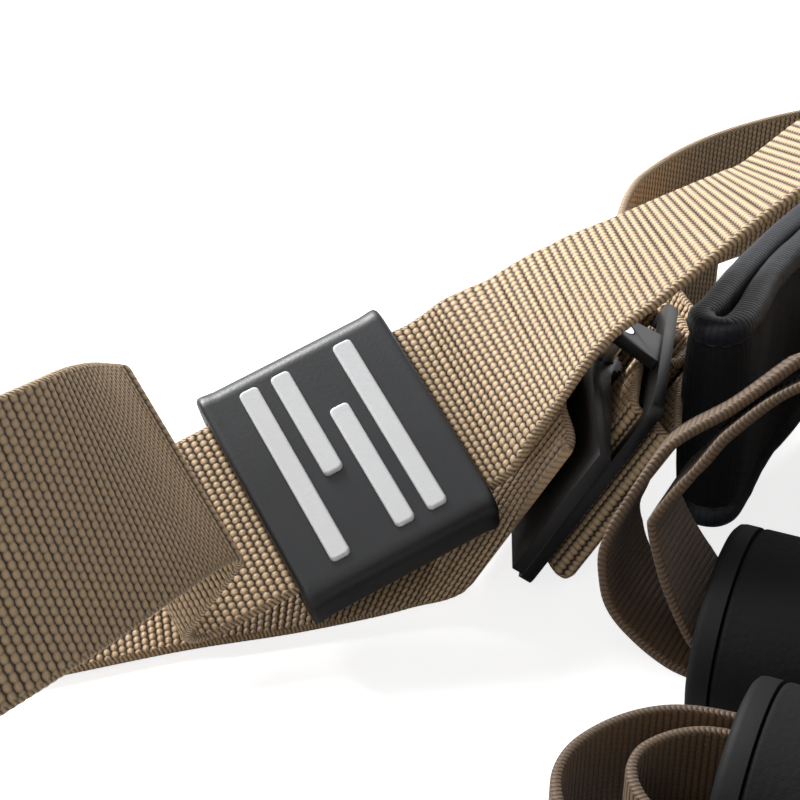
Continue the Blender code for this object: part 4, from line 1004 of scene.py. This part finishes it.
# The ribs rise and fall about this share of their height
ribMiddle = 0.65
ribRelief, ribSockets = reliefTree()
columnShares = (0, 0.006, 0.016, 0.03, 0.2, 0.35, 0.5, 0.65, 0.8, 0.97, 0.984, 0.994, 1)
columnRises = (0, 0.33, 0.46, 0.5, 0.5, 0.5, 0.5, 0.5, 0.5, 0.5, 0.46, 0.33, 0)
columnEdges = (1.0, 1.0, 0.9, 0.0, 0.0, 0.0, 0.0, 0.0, 0.0, 0.0, 0.9, 1.0, 1.0)


def wovenStrap(
    name, rings, width, cloth, weave, closed=False, relief=0.00034, thick=seam["clothThick"]
):
    count = len(rings)
    lengths = lengthsAlong(rings + rings[:1] if closed else rings, width)
    normals = edgeNormals([ring[:2] for ring in rings], width, closed)
    columns = list(zip(columnShares, columnRises, columnEdges))
    section = [(*column, 1) for column in columns] + [(*column, -1) for column in columns[-2:0:-1]]
    size = len(section)
    points, ways, alongs, edges = [], [], [], []
    for i, ((place, rib, near), (nearNormal, farNormal)) in enumerate(zip(rings, normals)):
        for share, rise, edge, side in section:
            normal = nearNormal.lerp(farNormal, share).normalized()
            points.append(place + rib * (share * width) + normal * (thick * rise * side))
            outward = normal * side if rise else rib * (1 if share else -1)
            ways.append(outward * ((1 - 0.7 * edge) if near else 0.0))
            alongs.append(lengths[i])
            edges.append(edge)
    faces, uvs = [], []
    across = [column[0] * width for column in section]
    for ring in range(count if closed else count - 1):
        faces += ringFaces(size, ring * size, (ring + 1) % count * size)
        uvs += clothBetween(across, lengths[ring], lengths[ring + 1])
    if not closed:
        for first, along in ((0, 0.0), ((count - 1) * size, lengths[-1])):
            faces.append(tuple(range(first, first + size)))
            uvs.append(tuple((along, place) for place in across))
    attributes = {"reliefWay": [tuple(way) for way in ways], "along": alongs, "selvedge": edges}
    strap = meshObject(name, points, faces, [cloth], uvs, attributes)
    turnOutwards(strap)
    change = strap.modifiers.new("ribs", "NODES")
    change.node_group = ribRelief
    change[ribSockets["Rib Pitch"]] = weave["pitch"]
    change[ribSockets["Rib Height"]] = relief
    change[ribSockets["Cloth"]] = cloth
    applied(strap)
    strap.data.shade_smooth()
    strap.data.set_sharp_from_angle(angle=math.radians(55))
    return strap, lengths[-1]


# What the camera sees of the layout, and the steps between rings there and elsewhere, in metres
seenBox = {"left": -0.1, "right": 0.19, "near": -0.14, "far": 0.09}
ringSteps = {
    "arm": 0.004, "armSeen": 0.0006, "upperSeen": 0.00044, "handle": 0.003, "handleSeen": 0.0011,
}


def inPicture(place):
    return seenBox["left"] < place.x < seenBox["right"] and seenBox["near"] < place.y < seenBox["far"]


print("straps start")
keeperPlace = keeperFrame()
armStations = upperStrapStations(keeperPlace, visibleBuckle, hiddenBuckle)
armStations.update(adjustingStrapStations(visibleBuckle, hiddenBuckle, leftGrip, rightGrip))
handleRoutes, padRoutes = handleStations(leftGrip, rightGrip)
straps = {}
for node, stations in armStations.items():
    closeStep = ringSteps["upperSeen" if node.endswith("upper_strap") else "armSeen"]
    rings = sampled(stations, ringSteps["arm"], closeStep, inPicture)
    strap, length = wovenStrap(node + "_woven", rings, webbingWidth, polyesterWebbing, armWeave)
    straps[node] = (strap, webbingWidth, length, "webbing")
for node, stations in handleRoutes.items():
    rings = sampled(stations, ringSteps["handle"], ringSteps["handleSeen"], inPicture)
    strap, length = wovenStrap(
        node + "_woven", rings, handleWebbingWidth, nylonWebbing, handleWeave, relief=0.00016, thick=0.0017
    )
    straps[node] = (strap, handleWebbingWidth, length, "handle_webbing")
ringStations, anchorStrapStations = anchorStations()
rings = sampled(ringStations, ringSteps["handle"])[:-1]
strap, length = wovenStrap(
    "equalizer_loop_woven", rings, equalizerWidth, blackWebbing, darkWeave, closed=True
)
straps["equalizer_loop"] = (strap, equalizerWidth, length, "black_webbing")
rings = sampled(anchorStrapStations, ringSteps["handle"])
strap, length = wovenStrap("anchor_strap_woven", rings, handleWebbingWidth, blackWebbing, darkWeave)
straps["anchor_strap"] = (strap, handleWebbingWidth, length, "black_webbing")
for node, (strap, width, length, slotName) in straps.items():
    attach(strap, "trainer")
    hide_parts(node)
    print(node, "length", round(length, 3), "m,", len(strap.data.polygons), "faces")


# Seams


def stitchTree():
    # Short round stitches laid end to end along a seam
    sizes = (("Stitch Spacing", 0.0028), ("Stitch Length", 0.0019), ("Thread", 0.00035))
    tree, sockets, start = openTree("seamStitches", sizes, "Yarn")
    line = addNode(
        tree, "GeometryNodeResampleCurve",
        {"Curve": start["Geometry"], "Length": start["Stitch Spacing"]}, mode="LENGTH",
    )
    stitch = addNode(tree, "GeometryNodeMeshUVSphere", {"Segments": 6, "Rings": 4, "Radius": 0.5})
    size = addNode(
        tree, "ShaderNodeCombineXYZ", {0: start["Thread"], 1: start["Thread"], 2: start["Stitch Length"]}
    )
    tangent = addNode(tree, "GeometryNodeInputTangent")
    turn = addNode(tree, "FunctionNodeAlignEulerToVector", {"Vector": tangent.outputs[0]}, axis="Z")
    laid = addNode(
        tree, "GeometryNodeInstanceOnPoints",
        {
            "Points": line.outputs[0], "Instance": stitch.outputs[0], "Rotation": turn.outputs[0],
            "Scale": size.outputs[0],
        },
    )
    closeTree(tree, laid.outputs[0], start["Yarn"])
    return tree, sockets


seamStitches, stitchSockets = stitchTree()


def sewnSeam(name, lines, yarn):
    curve = bpy.data.curves.new(name + "_line", "CURVE")
    curve.dimensions = "3D"
    for line in lines:
        spline = curve.splines.new("POLY")
        spline.points.add(len(line) - 1)
        for point, place in zip(spline.points, line):
            point.co = (*(place + layShift), 1)
    guide = linked(name + "_line", curve)
    change = guide.modifiers.new("stitches", "NODES")
    change.node_group = seamStitches
    change[stitchSockets["Yarn"]] = yarn
    graph = bpy.context.evaluated_depsgraph_get()
    mesh = bpy.data.meshes.new_from_object(guide.evaluated_get(graph))
    bpy.data.objects.remove(guide, do_unlink=True)
    mesh.shade_smooth()
    return linked(name, mesh)


def barTacks(name, place, heading, width, spots, yarn):
    # Dense rows of thread across a sewn eye, on its upper layer
    ahead = direction(heading, 0)
    rib = direction(90, 0) if heading == 180 else direction(0, 0)
    height = floorHeight + webbingThickness + webbingGap + seam["clothThick"] / 2 + seam["lift"]
    lines = []
    for spot in spots:
        line = []
        for i in range(seam["tackTurns"] + 1):
            aside = seam["inset"] + (width - 2 * seam["inset"]) * i / seam["tackTurns"]
            along = spot + seam["tackReach"] * (1 if i % 2 else -1)
            line.append(place + ahead * along + rib * aside + up * height)
        lines.append(line)
    tacks = sewnSeam(name, lines, yarn)
    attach(tacks, "trainer")


eyes = [
    (side + "_upper_eye", Vector(share) * layPace, 180, webbingWidth, tackPlaces["arm"], seamThread)
    for side, share in (("left", leftEyeShare), ("right", rightEyeShare))
]
anchorEdge = (leftEyeShare[0] - loopAsideShare) * layPace - equalizerWidth / 2 - handleWebbingWidth / 2
for name, share, heading in (("near", folds["nearEyeShare"], -90), ("far", folds["farEyeShare"], 90)):
    place = Vector((anchorEdge, share * layPace, 0))
    spots = tackPlaces["anchor"]
    eyes.append((name + "_anchor_eye", place, heading, handleWebbingWidth, spots, blackThread))
for name, place, heading, width, spots, yarn in eyes:
    barTacks(name + "_tacks", place, heading, width, spots, yarn)
print("eyes sewn")


# Padded sleeves of the foot cradles
padShares = (
    (0.0, 0.0), (0.0025, 0.42), (0.014, 0.78), (0.035, 0.98), (0.065, 1.0), (0.092, 0.86), (0.105, 0.66),
    (0.118, 0.74), (0.15, 0.86), (0.22, 0.95), (0.35, 1.0), (0.5, 1.0),
)


def paddedSleeve(name, stations, strapWidth):
    # Two bound edges and a soft face between them, with shallow wrinkles all over
    rings = sampled(stations, pad["ringSpacing"])
    section = bothFaces(padShares)
    normals = edgeNormals([ring[:2] for ring in rings], strapWidth, False)
    lengths = lengthsAlong(rings, strapWidth)
    size = len(section)
    points = []
    margin = (pad["width"] - strapWidth) / 2
    for i, ((place, rib, _), (nearNormal, farNormal)) in enumerate(zip(rings, normals)):
        ends = min(lengths[i], lengths[-1] - lengths[i])
        swell = min(1.0, pad["endSwell"] + ends / pad["swellLength"])
        normal = (nearNormal + farNormal).normalized()
        for share, rise, side in section:
            across = share * pad["width"] - margin
            thick = pad["thickness"] / 2 * rise * swell
            spot = place + rib * across + normal * (thick * side)
            crease = noise.noise(spot * pad["creaseScale"] + Vector((side * 3, 0, 0)))
            crease += noise.noise(spot * pad["puckerScale"]) * pad["puckerShare"]
            points.append(spot + normal * (crease * pad["wrinkle"] * side if rise else 0))
    faces, uvs = [], []
    across = [share * pad["width"] for share, _, _ in section]
    bound = pad["binding"] * 0.95
    # Faces of the bound edges, which take the tape and its painted highlight
    tapedWithHighlight = [
        int(min(a, b) < bound or max(a, b) > pad["width"] - bound)
        for a, b in zip(across, across[1:] + across[:1])
    ]
    for ring in range(len(rings) - 1):
        faces += ringFaces(size, ring * size, (ring + 1) * size)
        uvs += clothBetween(across, lengths[ring], lengths[ring + 1])
    slots = tapedWithHighlight * (len(rings) - 1) + [1, 1]
    for first, along in ((0, 0.0), ((len(rings) - 1) * size, lengths[-1])):
        faces.append(tuple(range(first, first + size)))
        uvs.append(tuple((along, place) for place in across))
    sleeve = meshObject(name, points, faces, [padCloth, bindingTapeWithHighlight], uvs, slots=slots)
    turnOutwards(sleeve)
    # A seam follows each groove beside the bound edge, on both faces
    groove = section.index((0.105, 0.66, 1))
    farGroove = size // 2 - groove
    spots = (groove, size - groove, farGroove, size - farGroove)
    lines = []
    for spot in spots:
        lines.append([points[ring * size + spot] for ring in range(2, len(rings) - 2)])
    return sleeve, sewnSeam(name + "_seam", lines, blackThread)


padRoutes["left_padded_sleeve"] = route(leftCradleRiseShares[-9:]) + padRoutes["left_padded_sleeve"]
for node, stations in padRoutes.items():
    cushion, stitching = paddedSleeve(node + "_cushion", stations, handleWebbingWidth)
    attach(stitching, "trainer")
    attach(cushion, "trainer")
    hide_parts(node)
print("padded sleeves made")


# Sewn covers where each arm ends


coverShares = (
    (0.0, 0.0), (0.006, 0.45), (0.022, 0.8), (0.05, 1.0), (0.2, 1.0), (0.35, 1.0), (0.5, 1.0),
)


def sewnCover(side, place, share):
    # A band of webbing folded round both straps, open at its two ends, with a boxed seam and one diagonal
    floorFrame = place.copy()
    floorFrame.translation.z = 0
    hole = 2 * webbingThickness + 3 * stackGap
    thick = hole + 2 * pad["coverWall"]
    middle = Vector((share[0] * layPace, share[1] * layPace, thick / 2 + webbingGap / 2))
    section = bothFaces(coverShares)
    size = len(section)
    steps = pad["coverSteps"]
    points, faces, uvs = [], [], []
    holeWide = pad["coverWidth"] - 2 * pad["coverWall"]
    for wide, high, fall in ((pad["coverWidth"], thick, pad["mouthFall"]), (holeWide, hole, 0.0)):
        for step in range(steps + 1):
            ends = min(step, steps - step)
            squeeze = 1.0 - fall * max(0, 2 - ends)
            along = pad["coverLength"] * step / steps
            for s, r, way in section:
                spot = Vector((along, (s - 0.5) * wide, high / 2 * r * way * squeeze))
                points.append(floorFrame @ (middle + spot))
    inner = (steps + 1) * size
    across = [share * pad["coverWidth"] for share, _, _ in section]
    alongs = [pad["coverLength"] * step / steps for step in range(steps + 1)]
    for base in (0, inner):
        for step in range(steps):
            faces += ringFaces(size, base + step * size, base + (step + 1) * size)
            uvs += clothBetween(across, alongs[step], alongs[step + 1])
    for step in (0, steps):
        faces += ringFaces(size, step * size, inner + step * size)
        uvs += clothBetween(across, alongs[step], alongs[step])
    cover = meshObject(side + "_end_cover_sewn", points, faces, [blackWebbing], uvs)
    turnOutwards(cover)
    inset = pad["coverInset"]
    reach = pad["coverWidth"] / 2 - inset
    surface = thick / 2 + seam["lift"] / 2
    corners = (
        (inset, -reach), (pad["coverLength"] - inset, -reach), (pad["coverLength"] - inset, reach),
        (inset, reach), (inset, -reach), (pad["coverLength"] - inset, reach),
    )
    line = [floorFrame @ (middle + Vector((a, b, surface))) for a, b in corners]
    return cover, sewnSeam(side + "_end_cover_seam", [line], blackThread)


for side, place, share in (("left", leftGrip, leftCoverShare), ("right", rightGrip, rightCoverShare)):
    cover, stitching = sewnCover(side, place, share)
    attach(cover, "trainer")
    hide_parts(side + "_end_cover")
    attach(stitching, "trainer")
print("end covers made")


# Foam grips with their end caps


def turned(name, place, outline, material, sides):
    # The outline of distances along the axis and radii is a closed loop
    points = []
    for side in range(sides):
        angle = 2 * math.pi * side / sides
        for along, radius in outline:
            points.append(place @ Vector((along, radius * math.cos(angle), radius * math.sin(angle))))
    size = len(outline)
    faces = []
    for side in range(sides):
        faces += ringFaces(size, side * size, (side + 1) % sides * size)
    thing = meshObject(name, points, faces, [material])
    turnOutwards(thing)
    thing.data.set_sharp_from_angle(angle=math.radians(50))
    return thing


def rounded(start, end, outer, bend, steps):
    # From one end of a tube's outside to the other, both corners rolled over
    turns = [math.radians(90 * k / steps) for k in range(steps, -1, -1)]
    first = [
        (start + bend * (1 - math.sin(t)), outer - bend * (1 - math.cos(t))) for t in turns
    ]
    return first + [(start + end - along, radius) for along, radius in reversed(first)]


for side, place in (("left", leftGrip), ("right", rightGrip)):
    outer = grip["radius"]
    seat = outer - grip["coverWall"]
    start = grip["capLength"] + grip["clearance"]
    end = start + grip["length"]
    profile = rounded(start, end, outer, grip["edgeRoll"], grip["rollSteps"])
    profile += [(end, seat), (start, seat)]
    foam = turned(side + "_foam_grip", place, profile, evaFoam, grip["sides"])
    pieces = {side + "_grip_cover": foam}
    for where, lowEnd, way in (("left", 0, 1), ("right", end + start, -1)):
        length = grip["capLength"]
        bore = grip["capBore"]
        spots = [(0.0, bore + 0.0003), (0.0, outer * 0.9), (0.07, outer * 0.955), (0.2, outer * 0.99)]
        spots += [(0.4, outer), (1.0, outer), (1.0, bore), (0.1, bore)]
        outline = [(lowEnd + way * share * length, radius) for share, radius in spots]
        cap = turned(f"{side}_{where}_end_cap", place, outline, capRubber, grip["sides"])
        pieces[f"{side}_grip_{where}_cap"] = cap
    for node, piece in pieces.items():
        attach(piece, side + "_grip")
        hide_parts(node)
print("grips made")


# Rubber keeper


def loopOf(halfWidth, halfHeight, corner, steps):
    spots = []
    for x, z, first in ((1, 1, 0), (-1, 1, 90), (-1, -1, 180), (1, -1, 270)):
        middle = (x * (halfWidth - corner), z * (halfHeight - corner))
        spots += arc(middle, corner, first, first + 90, steps)
    return spots


holeWidth = webbingWidth / 2 + keeper["clearance"]
holeHeight = webbingThickness + 1.5 * webbingGap
halfWidth = holeWidth + keeper["sideWall"]
halfHeight = holeHeight + keeper["faceWall"]
halfLength = keeper["length"] / 2
lipEnd = keeper["lipLength"]
levels = (
    (-halfLength, -0.0005), (0.00015 - halfLength, -0.0001), (0.0005 - halfLength, 0.00015),
    (0.0009 - halfLength, 0.0002), (lipEnd * 0.6 - halfLength, 0.0002),
    (lipEnd - halfLength, 0.0001), (lipEnd * 1.6 - halfLength, 0.0),
)
levels = list(levels) + [(-along, grow) for along, grow in reversed(levels)]
points = []
for along, grow in levels:
    for a, b in loopOf(halfWidth + grow, halfHeight + grow, keeper["corner"], keeper["cornerSteps"]):
        points.append(keeperPlace @ Vector((a, along, b)))
innerLoop = loopOf(holeWidth, holeHeight, webbingGap, keeper["cornerSteps"])
size = len(innerLoop)
for along in (-halfLength, halfLength):
    points += [keeperPlace @ Vector((a, along, b)) for a, b in innerLoop]
faces = []
for ring in range(len(levels) - 1):
    faces += ringFaces(size, ring * size, (ring + 1) * size)
inner = len(levels) * size
for here, there in ((inner, inner + size), (0, inner), (inner - size, inner + size)):
    faces += ringFaces(size, here, there)
band = meshObject("rubber_keeper_band", points, faces, [mouldedRubber])
turnOutwards(band)
band.data.set_sharp_from_angle(angle=math.radians(60))
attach(band, "keeper")
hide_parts("rubber_keeper")

# Raised white bars across the keeper's face
markShares = ((-0.26, -0.5, 0.5), (-0.09, -0.5, 0.1), (0.08, -0.2, 0.5), (0.25, -0.5, 0.5))
points, faces = [], []
for along, begin, end in markShares:
    halfBar = keeper["markWidth"] / 2
    centre = ((begin + end) / 2 * webbingWidth, along * keeper["length"])
    reach = (end - begin) / 2 * webbingWidth
    # The last loop lies flat inside the rounded edge, so that the face shades flat
    top = halfHeight + keeper["markHeight"]
    loops = (
        (0.0, halfHeight - 0.0006), (0.0, top - 0.0003), (0.0001, top - 0.0001),
        (0.0003, top), (0.0006, top),
    )
    base = len(points)
    for inset, level in loops:
        corner = keeper["markCorner"] - inset * 0.5
        for a, b in loopOf(reach - inset, halfBar - inset, corner, keeper["markSteps"]):
            points.append(keeperPlace @ Vector((centre[0] + a, centre[1] + b, level)))
    count = (len(points) - base) // len(loops)
    for ring in range(len(loops) - 1):
        faces += ringFaces(count, base + ring * count, base + (ring + 1) * count)
    for first in (base, len(points) - count):
        faces.append(tuple(range(first, first + count)))
marks = meshObject("keeper_raised_bars", points, faces, [whiteRubber])
turnOutwards(marks)
marks.data.set_sharp_from_angle(angle=math.radians(50))
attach(marks, "keeper")
print("keeper made")


# Metal parts and grip cores, from the CAD solids, the buckles with their edges broken


def brokenEdges(node, material, body, width):
    mesh = frame["nodes"][node].data.copy()
    shape = bmesh.new()
    shape.from_mesh(mesh)
    bmesh.ops.remove_doubles(shape, verts=shape.verts, dist=metal["weld"])
    bmesh.ops.dissolve_limit(
        shape, angle_limit=math.radians(metal["flatAngle"]), verts=shape.verts, edges=shape.edges
    )
    shape.to_mesh(mesh)
    shape.free()
    mesh.materials.clear()
    mesh.materials.append(material)
    thing = linked(node + "_finished", mesh)
    if width:
        change = thing.modifiers.new("edges", "BEVEL")
        change.width = width
        change.segments = metal["segments"]
        change.limit_method = "ANGLE"
        change.angle_limit = math.radians(metal["bevelAngle"])
        change.use_clamp_overlap = True
        applied(thing)
    thing.data.shade_smooth()
    thing.data.set_sharp_from_angle(angle=math.radians(metal["sharpAngle"]))
    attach(thing, body)
    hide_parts(node)


for side in ("left", "right"):
    brokenEdges(side + "_buckle_frame", powderCoat, "trainer", buckle["brokenEdge"])
    brokenEdges(side + "_cam_lever", powderCoat, side + "_lever", buckle["brokenEdge"])
    for node in ("buckle_axle", "buckle_spring"):
        brokenEdges(f"{side}_{node}", brushedSteel, "trainer", 0)
    brokenEdges(side + "_grip_core", capRubber, side + "_grip", 0)
for name in ("main", "anchor"):
    brokenEdges(name + "_carabiner_body", brushedSteel, "trainer", 0)
    brokenEdges(name + "_carabiner_gate", brushedSteel, name + "_gate", 0)
    brokenEdges(name + "_carabiner_gate_pin", brushedSteel, "trainer", 0)
print("metal parts made")


# Floor, light and camera
view = {
    "offset": (0.00995, -0.2737, 0.1713), "pitch": 60.0, "lens": 78.7, "sensor": 36.0,
    "floorHex": "#C8C8C8", "worldStrength": 0.12, "floorLift": 0.8, "floorReach": 6.0,
    "target": (0.02, -0.06, 0.02),
}
floorMesh = bpy.data.meshes.new("floor")
corners = ((-1, -1), (1, -1), (1, 1), (-1, 1))
floorMesh.from_pydata(
    [(x * view["floorReach"], y * view["floorReach"], 0) for x, y in corners], [], [(0, 1, 2, 3)]
)
floor = linked("floor", floorMesh)
# White laminate studio table: matt, and as pale as the background
floorPaint, floorTree, floorShader = newMaterial("whiteLaminate", view["floorHex"], 0.6)
floorMesh.materials.append(floorPaint)
floorSeen = addNode(floorTree, "ShaderNodeLightPath")
lift = mathOf(floorTree, "MULTIPLY", floorSeen.outputs["Is Camera Ray"], view["floorLift"])
floorShader.inputs["Emission Color"].default_value = (1, 1, 1, 1)
floorTree.links.new(lift, floorShader.inputs["Emission Strength"])

world = bpy.data.worlds.new("studio")
bpy.context.scene.world = world
world.use_nodes = True
worldTree = world.node_tree
worldTree.nodes.clear()
rays = addNode(worldTree, "ShaderNodeLightPath").outputs
seen = mathOf(worldTree, "MAXIMUM", rays["Is Camera Ray"], rays["Is Glossy Ray"])
dim, bright = (
    addNode(worldTree, "ShaderNodeBackground", {"Color": (1, 1, 1, 1), "Strength": strength})
    for strength in (view["worldStrength"], 1.0)
)
mixed = addNode(
    worldTree, "ShaderNodeMixShader", {0: seen, 1: dim.outputs[0], 2: bright.outputs[0]}
)
addNode(worldTree, "ShaderNodeOutputWorld", {0: mixed.outputs[0]})

for name, place, energy, size in (
    ("backLight", (-0.7, 0.6, 0.8), 25.0, 0.5),
    ("rimLight", (0.6, 0.9, 0.4), 1.5, 0.5),
    ("frontLight", (-0.4, -1.0, 0.9), 2.6, 0.8),
):
    lamp = bpy.data.lights.new(name, "AREA")
    lamp.energy = energy
    lamp.size = size
    made = linked(name, lamp)
    made.location = place
    aim = Vector(view["target"]) - Vector(place)
    made.rotation_euler = aim.to_track_quat("-Z", "Y").to_euler()

lens = bpy.data.cameras.new("camera")
lens.lens = view["lens"]
lens.sensor_width = view["sensor"]
lens.clip_start = 0.01
camera = linked("camera", lens)
camera.location = keeperPlace.translation + layShift + Vector(view["offset"])
camera.rotation_euler = (math.radians(view["pitch"]), 0, 0)
bpy.context.scene.camera = camera
bpy.context.scene.view_settings.view_transform = "Standard"
print("stage made")
